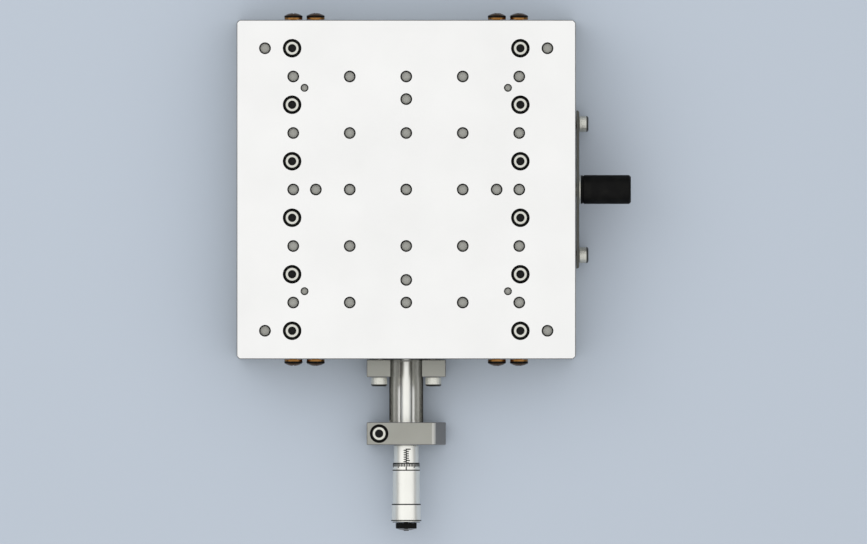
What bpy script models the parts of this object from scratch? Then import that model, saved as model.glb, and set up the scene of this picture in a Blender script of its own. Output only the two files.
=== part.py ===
"""Linear adjustment stage: a table on crossed-roller guideways, moved by a micrometer head.

Metres, +Z up. The origin is the centre of the base's bottom face. The table travels along Y, the micrometer
head stands out toward -Y and the lock knob toward +X.
"""

from math import cos, pi, radians, sin, sqrt, tau

import bmesh
import bpy
from mathutils import Matrix, Vector

# Fits between pieces
SEAT_GAP = 0.0003
HARDWARE_GAP = 0.0001
THREAD_GAP = 0.00015
SLIDING_GAP = 0.001
ROLLER_GAP = 0.00005

# Table and base
STAGE_LENGTH = 0.150
STAGE_WIDTH = 0.150
CORNER_CHAMFER = 0.0012
EDGE_CHAMFER = 0.0003
TRAVEL = 0.0065
BASE_HEIGHT = 0.0125
LEDGE_RISE = 0.0015
PLATE_THICKNESS = 0.0124
UNDERSIDE_RELIEF = 0.0009

# Crossed-roller guideways
RAIL_PAIR_INSET = 0.030
RAIL_PAIR_WIDTH = 0.018
RAIL_FACE_GAP = 0.0012
RAIL_HEIGHT = 0.008
RAIL_SCREW_PITCH = 0.025
RAIL_SCREW_LINE = 0.0055
END_SCREW_LINE = 0.0049
ROLLER_DIAMETER = 0.003
ROLLER_PITCH = 0.005
ROLLER_TILT = 45
CAGE_THICKNESS = 0.0006
CAGE_HEIGHT = 0.0066
CAGE_END_MARGIN = 0.00175

# Screws
M4_THREAD = 0.004
M4_HEAD = 0.007
M4_HEAD_HEIGHT = 0.004
M4_SOCKET = 0.003
M4_COUNTERBORE = 0.008
M4_COUNTERBORE_DEPTH = 0.0045
M3_THREAD = 0.003
M3_HEAD = 0.0055
M3_HEAD_HEIGHT = 0.003
M3_SOCKET = 0.0025
PAN_HEAD = 0.008
PAN_HEAD_HEIGHT = 0.003
PAN_RIM_HEIGHT = 0.0012
PAN_FLAT = 0.0042
END_SCREW_LENGTH = 0.0075
TABLE_SCREW_LENGTH = 0.014
BASE_SCREW_LENGTH = 0.016
PRELOAD_SCREW_LENGTH = 0.012
PRELOAD_SOCKET = 0.002
BRACKET_SCREW_LENGTH = 0.016
CLAMP_SCREW_LENGTH = 0.012
CONTACT_SCREW_LENGTH = 0.010
PLATE_SCREW_LENGTH = 0.008

# Mounting holes in the table top and under the base
GRID_PITCH = 0.025
GRID_REACH = 2
M6_TAP = 0.005
M6_TAP_DEPTH = 0.010
CENTRE_HOLE_OFFSET = 0.040
CORNER_HOLE_INSET = 0.0125
M4_TAP = 0.0033
M4_TAP_DEPTH = 0.008
M4_TAP_OFFSET = 0.045

# Contact block under the table
CONTACT_WIDTH = 0.012
CONTACT_LUG_FRONT = 0.001
CONTACT_LUG_LENGTH = 0.008
CONTACT_FOOT_LENGTH = 0.015
CONTACT_FOOT_HEIGHT = 0.005
CONTACT_SCREW_PITCH = 0.0065
PIN_DIAMETER = 0.006
PIN_DEPTH = 0.006
POCKET_CLEARANCE = 0.0015

# Return springs
SPRING_X = 0.020
SPRING_FRONT_Y = -0.045
SPRING_BACK_Y = 0.020
SPRING_RISE = 0.004
SPRING_DIAMETER = 0.005
SPRING_WIRE = 0.0007
SPRING_TURNS = 8
SPRING_LEAD_IN = 0.0035
HOOK_START = -135
HOOK_END = 120
POST_DIAMETER = 0.002
POST_REACH = 0.0025
GROOVE_WIDTH = 0.008
GROOVE_END_CLEARANCE = 0.004

# Micrometer bracket, along its axis from the front face of the base
AXIS_DROP = 0.0005
BRACKET_WIDTH = 0.035
BRACKET_BOTTOM_Z = 0.002
FLANGE_THICKNESS = 0.008
FLANGE_RISE = 0.0085
ARM_LENGTH = 0.020
ARM_WIDTH = 0.015
ARM_SKIN = 0.0005
GROOVE_RADIUS = 0.00705
CLAMP_LENGTH = 0.010
CLAMP_RISE = 0.009
CLAMP_SHOULDER_X = 0.0113
CLAMP_FLANK_X = 0.0126
CLAMP_FLANK_DROP = 0.013
CLAMP_SLIT = 0.0015
CLAMP_SCREW_X = 0.012
BRACKET_SCREW_X = 0.012
BRACKET_SCREW_RISE = 0.003

# Micrometer head
STEM_DIAMETER = 0.010
SLEEVE_DIAMETER = 0.011
SLEEVE_LENGTH = 0.0157
SLEEVE_WALL = 0.0007
NUT_SEAT_LENGTH = 0.0057
NUT_LENGTH = 0.003
NUT_WALL = 0.001
SPINDLE_DIAMETER = 0.0053
SPINDLE_THREAD = 0.0063
SPINDLE_NOSE = 0.004
SPINDLE_REACH = 0.001
SPINDLE_MARGIN = 0.001
READING = 0.006
ZERO_MARK = 0.0016
THIMBLE_DIAMETER = 0.012
THIMBLE_EDGE_DIAMETER = 0.0117
BAND_LENGTH = 0.0033
THIMBLE_BODY_LENGTH = 0.015
GRIP_DIAMETER = 0.0128
GRIP_LENGTH = 0.0071
COLLAR_DIAMETER = 0.0134
TAIL_LENGTH = 0.0009
THIMBLE_END_WALL = 0.0043
RATCHET_DIAMETER = 0.0092
RATCHET_LENGTH = 0.0025
RATCHET_CHAMFER = 0.0004
RATCHET_SCREW_THREAD = 0.0018
RATCHET_SCREW_HEAD = 0.005
RATCHET_SCREW_HEAD_HEIGHT = 0.0006
NUB_DIAMETER = 0.0022
NUB_HEIGHT = 0.0004

# Side lock, from the side face of the base
LOCK_PLATE_THICKNESS = 0.0012
LOCK_PLATE_LENGTH = 0.070
LOCK_PLATE_BOTTOM_Z = 0.002
LOCK_PLATE_RISE = 0.006
LOCK_PLATE_ROUND = 0.001
LOCK_PLATE_SCREW_INSET = 0.006
LOCK_STUD_DROP = 0.011
LOCK_STUD_DIAMETER = 0.006
LOCK_STUD_DEPTH = 0.012
LOCK_WASHER_DIAMETER = 0.0126
LOCK_WASHER_THICKNESS = 0.0005
LOCK_KNOB_DIAMETER = 0.0128
LOCK_KNOB_LENGTH = 0.0222
LOCK_KNOB_GROOVE = 0.0004
LOCK_KNOB_CHAMFER = 0.0008
LOCK_STUD_IN_KNOB = 0.014

# Facets
SHANK_SIDES = 6
TAP_SIDES = 8
SMALL_SIDES = 12
ROUND_SIDES = 20
ROLLER_SIDES = 6
COIL_STEPS = 6
HOOK_STEP = 51
SHOULDER_STEPS = 3
PLATE_ROUND_STEPS = 3
SHARP_ANGLE = 35
OVERCUT = 0.001
MERGE_DISTANCE = 1e-7

# Heights that follow
RAIL_SEAT_Z = BASE_HEIGHT + LEDGE_RISE
RAIL_BOTTOM_Z = RAIL_SEAT_Z + SEAT_GAP
RAIL_TOP_Z = RAIL_BOTTOM_Z + RAIL_HEIGHT
RAIL_AXIS_Z = RAIL_BOTTOM_Z + RAIL_HEIGHT / 2
TABLE_SEAT_Z = RAIL_TOP_Z + SEAT_GAP
TABLE_UNDERSIDE_Z = TABLE_SEAT_Z + UNDERSIDE_RELIEF
TABLE_TOP_Z = TABLE_SEAT_Z + PLATE_THICKNESS
TABLE_SKIRT_Z = BASE_HEIGHT + SLIDING_GAP
AXIS_Z = BASE_HEIGHT - AXIS_DROP
SPRING_Z = BASE_HEIGHT + SPRING_RISE
LOCK_STUD_Z = TABLE_TOP_Z - LOCK_STUD_DROP
LOCK_PLATE_TOP_Z = LOCK_STUD_Z + LOCK_PLATE_RISE

# Places across and along the stage that follow
FRONT_Y = -STAGE_LENGTH / 2
SIDE_X = STAGE_WIDTH / 2
RAIL_PAIR_X = SIDE_X - RAIL_PAIR_INSET
RAIL_NEAR = RAIL_FACE_GAP / 2
RAIL_FAR = RAIL_PAIR_WIDTH / 2
ISLAND_X = RAIL_PAIR_X - RAIL_FAR - SEAT_GAP
LEDGE_X = RAIL_PAIR_X - RAIL_NEAR / 2
SKIRT_X = RAIL_PAIR_X + RAIL_FAR + SEAT_GAP
TABLE_SEAT_X = RAIL_PAIR_X + RAIL_NEAR / 2
CORNER_HOLE_X = SIDE_X - CORNER_HOLE_INSET
CORNER_HOLE_Y = -FRONT_Y - CORNER_HOLE_INSET
LOCK_PLATE_SCREW_Y = LOCK_PLATE_LENGTH / 2 - LOCK_PLATE_SCREW_INSET

# Distances along the micrometer axis that follow
ARM_START = FLANGE_THICKNESS
CLAMP_START = ARM_START + ARM_LENGTH
CLAMP_END = CLAMP_START + CLAMP_LENGTH
CLAMP_MIDDLE = (CLAMP_START + CLAMP_END) / 2
SLEEVE_START = CLAMP_END + SEAT_GAP
SLEEVE_END = SLEEVE_START + SLEEVE_LENGTH
BARREL_END = SLEEVE_END + SEAT_GAP + NUT_SEAT_LENGTH
THIMBLE_EDGE = SLEEVE_START + ZERO_MARK + READING
BAND_END = THIMBLE_EDGE + BAND_LENGTH
BODY_END = BAND_END + THIMBLE_BODY_LENGTH
GRIP_END = BODY_END + GRIP_LENGTH
THIMBLE_END = GRIP_END + TAIL_LENGTH + HARDWARE_GAP
THIMBLE_FLOOR = THIMBLE_END - THIMBLE_END_WALL
BORE_STEP = SLEEVE_START + READING
SPINDLE_STEP = BORE_STEP + TRAVEL + SPINDLE_MARGIN

# Distances along the lock axis that follow
PLATE_OUTER = SEAT_GAP + LOCK_PLATE_THICKNESS
WASHER_START = PLATE_OUTER + HARDWARE_GAP
KNOB_START = WASHER_START + LOCK_WASHER_THICKNESS + HARDWARE_GAP
KNOB_END = KNOB_START + LOCK_KNOB_LENGTH

ALONG_Y = Matrix.Rotation(pi / 2, 4, "X")
ALONG_X = Matrix.Rotation(pi / 2, 4, "Y")
UPSIDE_DOWN = Matrix.Rotation(pi, 4, "X")


def clear_scene():
    for item in list(bpy.data.objects):
        bpy.data.objects.remove(item, do_unlink=True)


def material(name, colour, roughness, metallic):
    made = bpy.data.materials.new(name)
    made.use_nodes = True
    shader = made.node_tree.nodes["Principled BSDF"]
    shader.inputs["Base Color"].default_value = (*colour, 1.0)
    shader.inputs["Roughness"].default_value = roughness
    shader.inputs["Metallic"].default_value = metallic
    made.diffuse_color = (*colour, 1.0)
    return made


def make_mesh(name, bm):
    bmesh.ops.remove_doubles(bm, verts=bm.verts, dist=MERGE_DISTANCE)
    bmesh.ops.recalc_face_normals(bm, faces=bm.faces)
    mesh = bpy.data.meshes.new(name)
    bm.to_mesh(mesh)
    bm.free()
    return mesh


def link(name, data, parent=None, location=(0, 0, 0), rotation=(0, 0, 0)):
    made = bpy.data.objects.new(name, data)
    made.parent = parent
    made.location = location
    made.rotation_euler = rotation
    bpy.context.scene.collection.objects.link(made)
    return made


def piece(name, bm, finish, parent=None, location=(0, 0, 0), rotation=(0, 0, 0)):
    mesh = make_mesh(name, bm)
    mesh.materials.append(finish)
    mesh.shade_smooth()
    mesh.set_sharp_from_angle(angle=radians(SHARP_ANGLE))
    return link(name, mesh, parent, location, rotation)


def combine(target, operation, bm, name):
    """Cuts the mesh from the target, or joins it on, in the target's own frame."""
    tool = link(name, make_mesh(name, bm), target)
    tool.hide_render = True
    tool.display_type = "WIRE"
    boolean = target.modifiers.new(name, "BOOLEAN")
    boolean.operation = operation
    boolean.solver = "EXACT"
    boolean.object = tool


def add_box(bm, low, high):
    size = Vector(high) - Vector(low)
    middle = (Vector(high) + Vector(low)) / 2
    bmesh.ops.create_cube(bm, size=1.0, matrix=Matrix.LocRotScale(middle, None, size))


def add_prism(bm, outline, depth, place):
    """Extrudes an outline in XY along +Z, then moves it to its place."""
    corners = [bm.verts.new((x, y, 0)) for x, y in outline]
    face = bm.faces.new(corners)
    grown = bmesh.ops.extrude_face_region(bm, geom=[face])["geom"]
    far = [v for v in grown if isinstance(v, bmesh.types.BMVert)]
    bmesh.ops.translate(bm, vec=(0, 0, depth), verts=far)
    bmesh.ops.transform(bm, matrix=place, verts=corners + far)


def add_turned(bm, profile, sides, place=Matrix.Identity(4), closed=False):
    """Spins a profile of (radius, height) round Z. A closed profile makes a tube, an open one starts and
    ends on the axis."""
    points = profile if closed else [(0, profile[0][1]), *profile, (0, profile[-1][1])]
    verts = [bm.verts.new((radius, 0, height)) for radius, height in points]
    edges = [bm.edges.new(pair) for pair in zip(verts, verts[1:])]
    if closed:
        edges.append(bm.edges.new((verts[-1], verts[0])))
    before = set(bm.verts) - set(verts)
    bmesh.ops.spin(
        bm, geom=verts + edges, cent=(0, 0, 0), axis=(0, 0, 1), angle=tau, steps=sides, use_merge=True
    )
    made = [v for v in bm.verts if v not in before]
    bmesh.ops.remove_doubles(bm, verts=made, dist=MERGE_DISTANCE)
    made = [v for v in bm.verts if v not in before]
    bmesh.ops.transform(bm, matrix=place, verts=made)


def mirrored(half):
    """Completes an outline that is the same on both sides of the middle plane."""
    return half + [(-x, y) for x, y in reversed(half)]


def arc(radius, start, end, steps):
    angles = [start + (end - start) * step / steps for step in range(steps + 1)]
    return [(radius * cos(angle), radius * sin(angle)) for angle in angles]


def add_rings(bm, rings, place=Matrix.Identity(4)):
    """Joins rings of (height, radius, sides) from the first to the last and closes both ends. Rings at one
    height are joined by a flat face, and rings at different heights have the same number of sides."""
    made = []
    loops = []
    for height, radius, sides in rings:
        level = Matrix.Translation((0, 0, height))
        verts = bmesh.ops.create_circle(bm, segments=sides, radius=radius, matrix=level)["verts"]
        loops.append({edge for vert in verts for edge in vert.link_edges})
        made += verts
        if len(loops) in (1, len(rings)):
            bm.faces.new(verts)
    for step, (first, second) in enumerate(zip(loops, loops[1:])):
        edges = list(first | second)
        if rings[step][0] == rings[step + 1][0]:
            bmesh.ops.triangle_fill(bm, edges=edges, normal=(0, 0, 1))
        else:
            bmesh.ops.bridge_loops(bm, edges=edges)
    bmesh.ops.transform(bm, matrix=place, verts=made)


def add_rod(bm, radius, low, high, place=Matrix.Identity(4), sides=SHANK_SIDES):
    add_rings(bm, [(low, radius, sides), (high, radius, sides)], place)


def add_counterbored(bm, bore, through, wide, depth, place):
    """A stepped cutter: its mouth is at height 0, it widens above the seat and passes through below it."""
    add_rings(bm, [
        (-through, bore, SHANK_SIDES),
        (-depth, bore, SHANK_SIDES),
        (-depth, wide, SMALL_SIDES),
        (OVERCUT, wide, SMALL_SIDES),
    ], place)


def socket_radius(across_flats):
    return across_flats / sqrt(3)


def add_socket_screw(bm, thread, head, head_height, socket, length, place=Matrix.Identity(4)):
    """A cap screw: the head seats at height 0, and the shank runs down."""
    add_rings(bm, [
        (-length, thread / 2, SHANK_SIDES),
        (0, thread / 2, SHANK_SIDES),
        (0, head / 2, SMALL_SIDES),
        (head_height, head / 2, SMALL_SIDES),
        (head_height, socket_radius(socket), SHANK_SIDES),
        (head_height / 2, socket_radius(socket), SHANK_SIDES),
    ], place)


def m4_screw(name, length, parent, location, rotation=(0, 0, 0)):
    bm = bmesh.new()
    add_socket_screw(bm, M4_THREAD, M4_HEAD, M4_HEAD_HEIGHT, M4_SOCKET, length)
    return piece(name, bm, STAINLESS, parent, location, rotation)


def m3_screw(name, length, parent, location, rotation=(0, 0, 0)):
    bm = bmesh.new()
    add_socket_screw(bm, M3_THREAD, M3_HEAD, M3_HEAD_HEIGHT, M3_SOCKET, length)
    return piece(name, bm, STAINLESS, parent, location, rotation)


def bevel(bm, edges, width, steps=1):
    bmesh.ops.bevel(
        bm, geom=edges, offset=width, segments=steps, profile=0.5, affect="EDGES", material=-1
    )


def chamfer_upright_corners(bm):
    """Chamfers the four upright outer corners of a plate as large as the stage."""
    edges = []
    for edge in bm.edges:
        ends = [vert.co for vert in edge.verts]
        at_side = all(abs(abs(co.x) - SIDE_X) < MERGE_DISTANCE for co in ends)
        at_end = all(abs(abs(co.y) + FRONT_Y) < MERGE_DISTANCE for co in ends)
        if at_side and at_end and abs(ends[0].z - ends[1].z) > MERGE_DISTANCE:
            edges.append(edge)
    bevel(bm, edges, CORNER_CHAMFER)


def chamfer_top_edges(bm, top):
    """Breaks the edges round the flat top of a plate."""
    edges = [edge for edge in bm.edges if all(top - vert.co.z < MERGE_DISTANCE for vert in edge.verts)]
    bevel(bm, edges, EDGE_CHAMFER)


def rail_screw_places():
    count = int(round(STAGE_LENGTH / RAIL_SCREW_PITCH))
    return [(step - (count - 1) / 2) * RAIL_SCREW_PITCH for step in range(count)]


def end_label(y_sign):
    return "front" if y_sign < 0 else "back"


def side_label(x_sign):
    return "left" if x_sign < 0 else "right"


def along_stage(bm, outline, length=STAGE_LENGTH):
    """Extrudes an outline in XZ along the whole travel direction, centred on Y = 0."""
    add_prism(bm, outline, length, Matrix.Translation((0, length / 2, 0)) @ ALONG_Y)


def spring_post_places():
    return [side * SPRING_X for side in (-1, 1)]


def pocket_back_y():
    foot_end = FRONT_Y + CONTACT_LUG_FRONT + CONTACT_LUG_LENGTH + CONTACT_FOOT_LENGTH
    return foot_end + TRAVEL + POCKET_CLEARANCE


def add_base_holes(bm):
    through = RAIL_SEAT_Z + OVERCUT
    for side in (-1, 1):
        for y in rail_screw_places():
            x = side * (RAIL_PAIR_X - RAIL_SCREW_LINE)
            place = Matrix.Translation((x, y, 0)) @ UPSIDE_DOWN
            clear = M4_THREAD / 2 + SEAT_GAP
            add_counterbored(bm, clear, through, M4_COUNTERBORE / 2, M4_COUNTERBORE_DEPTH, place)
        for end in (-1, 1):
            place = Matrix.Translation((side * CORNER_HOLE_X, end * CORNER_HOLE_Y, 0))
            add_rod(bm, M6_TAP / 2, -OVERCUT, M6_TAP_DEPTH, place, TAP_SIDES)
        place = Matrix.Translation((side * BRACKET_SCREW_X, FRONT_Y, AXIS_Z + BRACKET_SCREW_RISE)) @ ALONG_Y
        tip = FLANGE_THICKNESS + HARDWARE_GAP - BRACKET_SCREW_LENGTH
        add_rod(bm, M4_THREAD / 2 + THREAD_GAP, tip - OVERCUT, OVERCUT, place)
        place = Matrix.Translation((SIDE_X, side * LOCK_PLATE_SCREW_Y, BASE_HEIGHT / 2)) @ ALONG_X
        tip = PLATE_OUTER + HARDWARE_GAP - PLATE_SCREW_LENGTH
        add_rod(bm, M4_THREAD / 2 + THREAD_GAP, tip - OVERCUT, OVERCUT, place)


def add_base_pockets(bm):
    half = CONTACT_WIDTH / 2 + POCKET_CLEARANCE
    floor = AXIS_Z - GROOVE_RADIUS - SEAT_GAP
    top = RAIL_TOP_Z + OVERCUT
    add_box(bm, (-half, FRONT_Y - OVERCUT, floor), (half, pocket_back_y(), top))
    front = SPRING_FRONT_Y - GROOVE_END_CLEARANCE
    back = SPRING_BACK_Y + TRAVEL + GROOVE_END_CLEARANCE
    for x in spring_post_places():
        add_box(bm, (x - GROOVE_WIDTH / 2, front, BASE_HEIGHT), (x + GROOVE_WIDTH / 2, back, top))


def make_base():
    bm = bmesh.new()
    along_stage(bm, mirrored([
        (SIDE_X, 0),
        (SIDE_X, BASE_HEIGHT),
        (LEDGE_X, BASE_HEIGHT),
        (LEDGE_X, RAIL_SEAT_Z),
        (ISLAND_X, RAIL_SEAT_Z),
        (ISLAND_X, RAIL_TOP_Z),
    ]))
    chamfer_upright_corners(bm)
    base = piece("base", bm, GREY_METAL)
    cuts = bmesh.new()
    add_base_holes(cuts)
    add_base_pockets(cuts)
    combine(base, "DIFFERENCE", cuts, "base_cuts")
    posts = bmesh.new()
    for x in spring_post_places():
        place = Matrix.Translation((x, SPRING_FRONT_Y, 0))
        add_rod(posts, POST_DIAMETER / 2, BASE_HEIGHT - OVERCUT, SPRING_Z + POST_REACH, place, TAP_SIDES)
    combine(base, "UNION", posts, "base_posts")
    return base


def table_hole_places():
    steps = range(-GRID_REACH, GRID_REACH + 1)
    places = [(column * GRID_PITCH, row * GRID_PITCH) for column in steps for row in steps]
    for sign in (-1, 1):
        places.append((0, sign * CENTRE_HOLE_OFFSET))
        places.append((sign * CENTRE_HOLE_OFFSET, 0))
        places.append((sign * CORNER_HOLE_X, CORNER_HOLE_Y))
        places.append((sign * CORNER_HOLE_X, -CORNER_HOLE_Y))
    return places


def contact_screw_places():
    middle = FRONT_Y + CONTACT_LUG_FRONT + CONTACT_LUG_LENGTH + CONTACT_FOOT_LENGTH / 2
    return [middle - CONTACT_SCREW_PITCH / 2 - SEAT_GAP, middle + CONTACT_SCREW_PITCH / 2 - SEAT_GAP]


def contact_foot_z():
    return TABLE_UNDERSIDE_Z - SEAT_GAP - CONTACT_FOOT_HEIGHT


def add_table_top_holes(bm):
    for x, y in table_hole_places():
        place = Matrix.Translation((x, y, TABLE_TOP_Z))
        add_rod(bm, M6_TAP / 2, -M6_TAP_DEPTH, OVERCUT, place, TAP_SIDES)
    for side in (-1, 1):
        for end in (-1, 1):
            place = Matrix.Translation((side * M4_TAP_OFFSET, end * M4_TAP_OFFSET, TABLE_TOP_Z))
            add_rod(bm, M4_TAP / 2, -M4_TAP_DEPTH, OVERCUT, place, TAP_SIDES)
        for y in rail_screw_places():
            place = Matrix.Translation((side * (RAIL_PAIR_X + RAIL_SCREW_LINE), y, TABLE_TOP_Z))
            clear = M4_THREAD / 2 + SEAT_GAP
            through = PLATE_THICKNESS + OVERCUT
            add_counterbored(bm, clear, through, M4_COUNTERBORE / 2, M4_COUNTERBORE_DEPTH, place)


def add_table_side_holes(bm):
    for y in rail_screw_places():
        place = Matrix.Translation((0, y, RAIL_AXIS_Z)) @ ALONG_X
        radius = M4_THREAD / 2 + THREAD_GAP
        add_rod(bm, radius, -SIDE_X - OVERCUT, -SKIRT_X + OVERCUT, place, SMALL_SIDES)
    place = Matrix.Translation((SIDE_X, 0, LOCK_STUD_Z)) @ ALONG_X
    radius = LOCK_STUD_DIAMETER / 2 + THREAD_GAP
    add_rod(bm, radius, -LOCK_STUD_DEPTH - SEAT_GAP, OVERCUT, place, SMALL_SIDES)
    top = contact_foot_z() - HARDWARE_GAP + CONTACT_SCREW_LENGTH + SEAT_GAP
    for y in contact_screw_places():
        place = Matrix.Translation((0, y, 0))
        add_rod(bm, M3_THREAD / 2 + THREAD_GAP, TABLE_UNDERSIDE_Z - OVERCUT, top, place)


def make_table(carriage):
    bm = bmesh.new()
    along_stage(bm, mirrored([
        (TABLE_SEAT_X, TABLE_UNDERSIDE_Z),
        (TABLE_SEAT_X, TABLE_SEAT_Z),
        (SKIRT_X, TABLE_SEAT_Z),
        (SKIRT_X, TABLE_SKIRT_Z),
        (SIDE_X, TABLE_SKIRT_Z),
        (SIDE_X, TABLE_TOP_Z),
    ]))
    chamfer_upright_corners(bm)
    chamfer_top_edges(bm, TABLE_TOP_Z)
    table = piece("table_top", bm, WHITE_FINISH, carriage)
    cuts = bmesh.new()
    add_table_top_holes(cuts)
    add_table_side_holes(cuts)
    combine(table, "DIFFERENCE", cuts, "table_cuts")
    posts = bmesh.new()
    for x in spring_post_places():
        place = Matrix.Translation((x, SPRING_BACK_Y, 0))
        top = TABLE_UNDERSIDE_Z + OVERCUT
        add_rod(posts, POST_DIAMETER / 2, SPRING_Z - POST_REACH, top, place, TAP_SIDES)
    combine(table, "UNION", posts, "table_posts")
    return table


def rail_outline(outward):
    """One rail of a pair, with the V for the rollers: distances from the pair's centre, out or in."""
    groove = ROLLER_DIAMETER / 2 * sqrt(2)
    mouth = groove - RAIL_NEAR
    outline = [
        (RAIL_NEAR, -RAIL_HEIGHT / 2),
        (RAIL_FAR, -RAIL_HEIGHT / 2),
        (RAIL_FAR, RAIL_HEIGHT / 2),
        (RAIL_NEAR, RAIL_HEIGHT / 2),
        (RAIL_NEAR, mouth),
        (groove, 0),
        (RAIL_NEAR, -mouth),
    ]
    return [(outward * x, z) for x, z in outline]


def add_end_holes(bm, x):
    radius = M3_THREAD / 2 + THREAD_GAP
    depth = END_SCREW_LENGTH + SEAT_GAP
    for end in (-1, 1):
        place = Matrix.Translation((x, -end * FRONT_Y, 0)) @ Matrix.Rotation(end * pi / 2, 4, "X")
        add_rod(bm, radius, -OVERCUT, depth, place)


def make_table_rail(side, carriage):
    bm = bmesh.new()
    along_stage(bm, rail_outline(side))
    location = (side * RAIL_PAIR_X, 0, RAIL_AXIS_Z)
    rail = piece("table_rail_" + side_label(side), bm, RAIL_STEEL, carriage, location)
    cuts = bmesh.new()
    for y in rail_screw_places():
        place = Matrix.Translation((side * RAIL_SCREW_LINE, y, 0))
        half = RAIL_HEIGHT / 2 + OVERCUT
        add_rod(cuts, M4_THREAD / 2 + THREAD_GAP, -half, half, place)
    add_end_holes(cuts, side * END_SCREW_LINE)
    combine(rail, "DIFFERENCE", cuts, rail.name + "_cuts")


def make_base_rail(side):
    """The fixed rail with the six screws that hold it from below."""
    bm = bmesh.new()
    along_stage(bm, rail_outline(-side))
    location = (side * RAIL_PAIR_X, 0, RAIL_AXIS_Z)
    rail = piece("base_rail_" + side_label(side), bm, RAIL_STEEL, None, location)
    cuts = bmesh.new()
    add_end_holes(cuts, -side * END_SCREW_LINE)
    combine(rail, "DIFFERENCE", cuts, rail.name + "_cuts")
    screws = bmesh.new()
    seat = M4_COUNTERBORE_DEPTH - SEAT_GAP - RAIL_AXIS_Z
    for y in rail_screw_places():
        place = Matrix.Translation((-side * RAIL_SCREW_LINE, y, seat)) @ UPSIDE_DOWN
        add_socket_screw(screws, M4_THREAD, M4_HEAD, M4_HEAD_HEIGHT, M4_SOCKET, BASE_SCREW_LENGTH, place)
    combine(rail, "UNION", screws, rail.name + "_screws")


def make_cage(side):
    """The cage strip with its rollers, whose axes cross from one to the next."""
    length = STAGE_LENGTH - TRAVEL - 2 * CAGE_END_MARGIN
    bm = bmesh.new()
    half = CAGE_THICKNESS / 2
    add_box(bm, (-half, -length / 2, -CAGE_HEIGHT / 2), (half, length / 2, CAGE_HEIGHT / 2))
    location = (side * RAIL_PAIR_X, 0, RAIL_AXIS_Z)
    cage = piece("roller_cage_" + side_label(side), bm, RAIL_STEEL, None, location)
    rollers = bmesh.new()
    radius = ROLLER_DIAMETER / 2 - ROLLER_GAP
    count = int(length / ROLLER_PITCH + MERGE_DISTANCE)
    for step in range(count):
        y = (step - (count - 1) / 2) * ROLLER_PITCH
        tilt = radians(ROLLER_TILT if step % 2 else -ROLLER_TILT)
        place = Matrix.Translation((0, y, 0)) @ Matrix.Rotation(tilt, 4, "Y")
        end = radius - ROLLER_GAP
        add_rod(rollers, radius, -end, end, place, ROLLER_SIDES)
    combine(cage, "UNION", rollers, cage.name + "_rollers")


def make_rail_screws(carriage):
    seat = TABLE_TOP_Z - M4_COUNTERBORE_DEPTH + HARDWARE_GAP
    for side in (-1, 1):
        x = side * (RAIL_PAIR_X + RAIL_SCREW_LINE)
        for number, y in enumerate(rail_screw_places(), 1):
            name = "table_rail_screw_" + side_label(side) + "_" + str(number)
            m4_screw(name, TABLE_SCREW_LENGTH, carriage, (x, y, seat))


def add_pan_screw(bm):
    add_rings(bm, [
        (-END_SCREW_LENGTH, M3_THREAD / 2, SHANK_SIDES),
        (0, M3_THREAD / 2, SHANK_SIDES),
        (0, PAN_HEAD / 2, SMALL_SIDES),
        (PAN_RIM_HEIGHT, PAN_HEAD / 2, SMALL_SIDES),
        (PAN_HEAD_HEIGHT, PAN_FLAT / 2, SMALL_SIDES),
    ])


def make_end_screws(carriage):
    """The pan-head screws in the rail ends that stop the cages."""
    owners = (("table", carriage, END_SCREW_LINE), ("base", None, -END_SCREW_LINE))
    for side in (-1, 1):
        for end in (-1, 1):
            turn = (-end * pi / 2, 0, 0)
            y = end * (-FRONT_Y + HARDWARE_GAP)
            for owner, parent, offset in owners:
                bm = bmesh.new()
                add_pan_screw(bm)
                name = owner + "_end_screw_" + end_label(end) + "_" + side_label(side)
                x = side * (RAIL_PAIR_X + offset)
                piece(name, bm, BRONZE, parent, (x, y, RAIL_AXIS_Z), turn)


def make_preload_screws(carriage):
    """Set screws in the left skirt that press the left table rail against its rollers."""
    radius = M4_THREAD / 2
    key = socket_radius(PRELOAD_SOCKET)
    for number, y in enumerate(rail_screw_places(), 1):
        bm = bmesh.new()
        add_rings(bm, [
            (0, radius, SMALL_SIDES),
            (PRELOAD_SCREW_LENGTH, radius, SMALL_SIDES),
            (PRELOAD_SCREW_LENGTH, key, SHANK_SIDES),
            (PRELOAD_SCREW_LENGTH - PRELOAD_SOCKET, key, SHANK_SIDES),
        ])
        location = (-SKIRT_X, y, RAIL_AXIS_Z)
        piece("preload_screw_" + str(number), bm, DARK_STEEL, carriage, location, (0, -pi / 2, 0))


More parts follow.
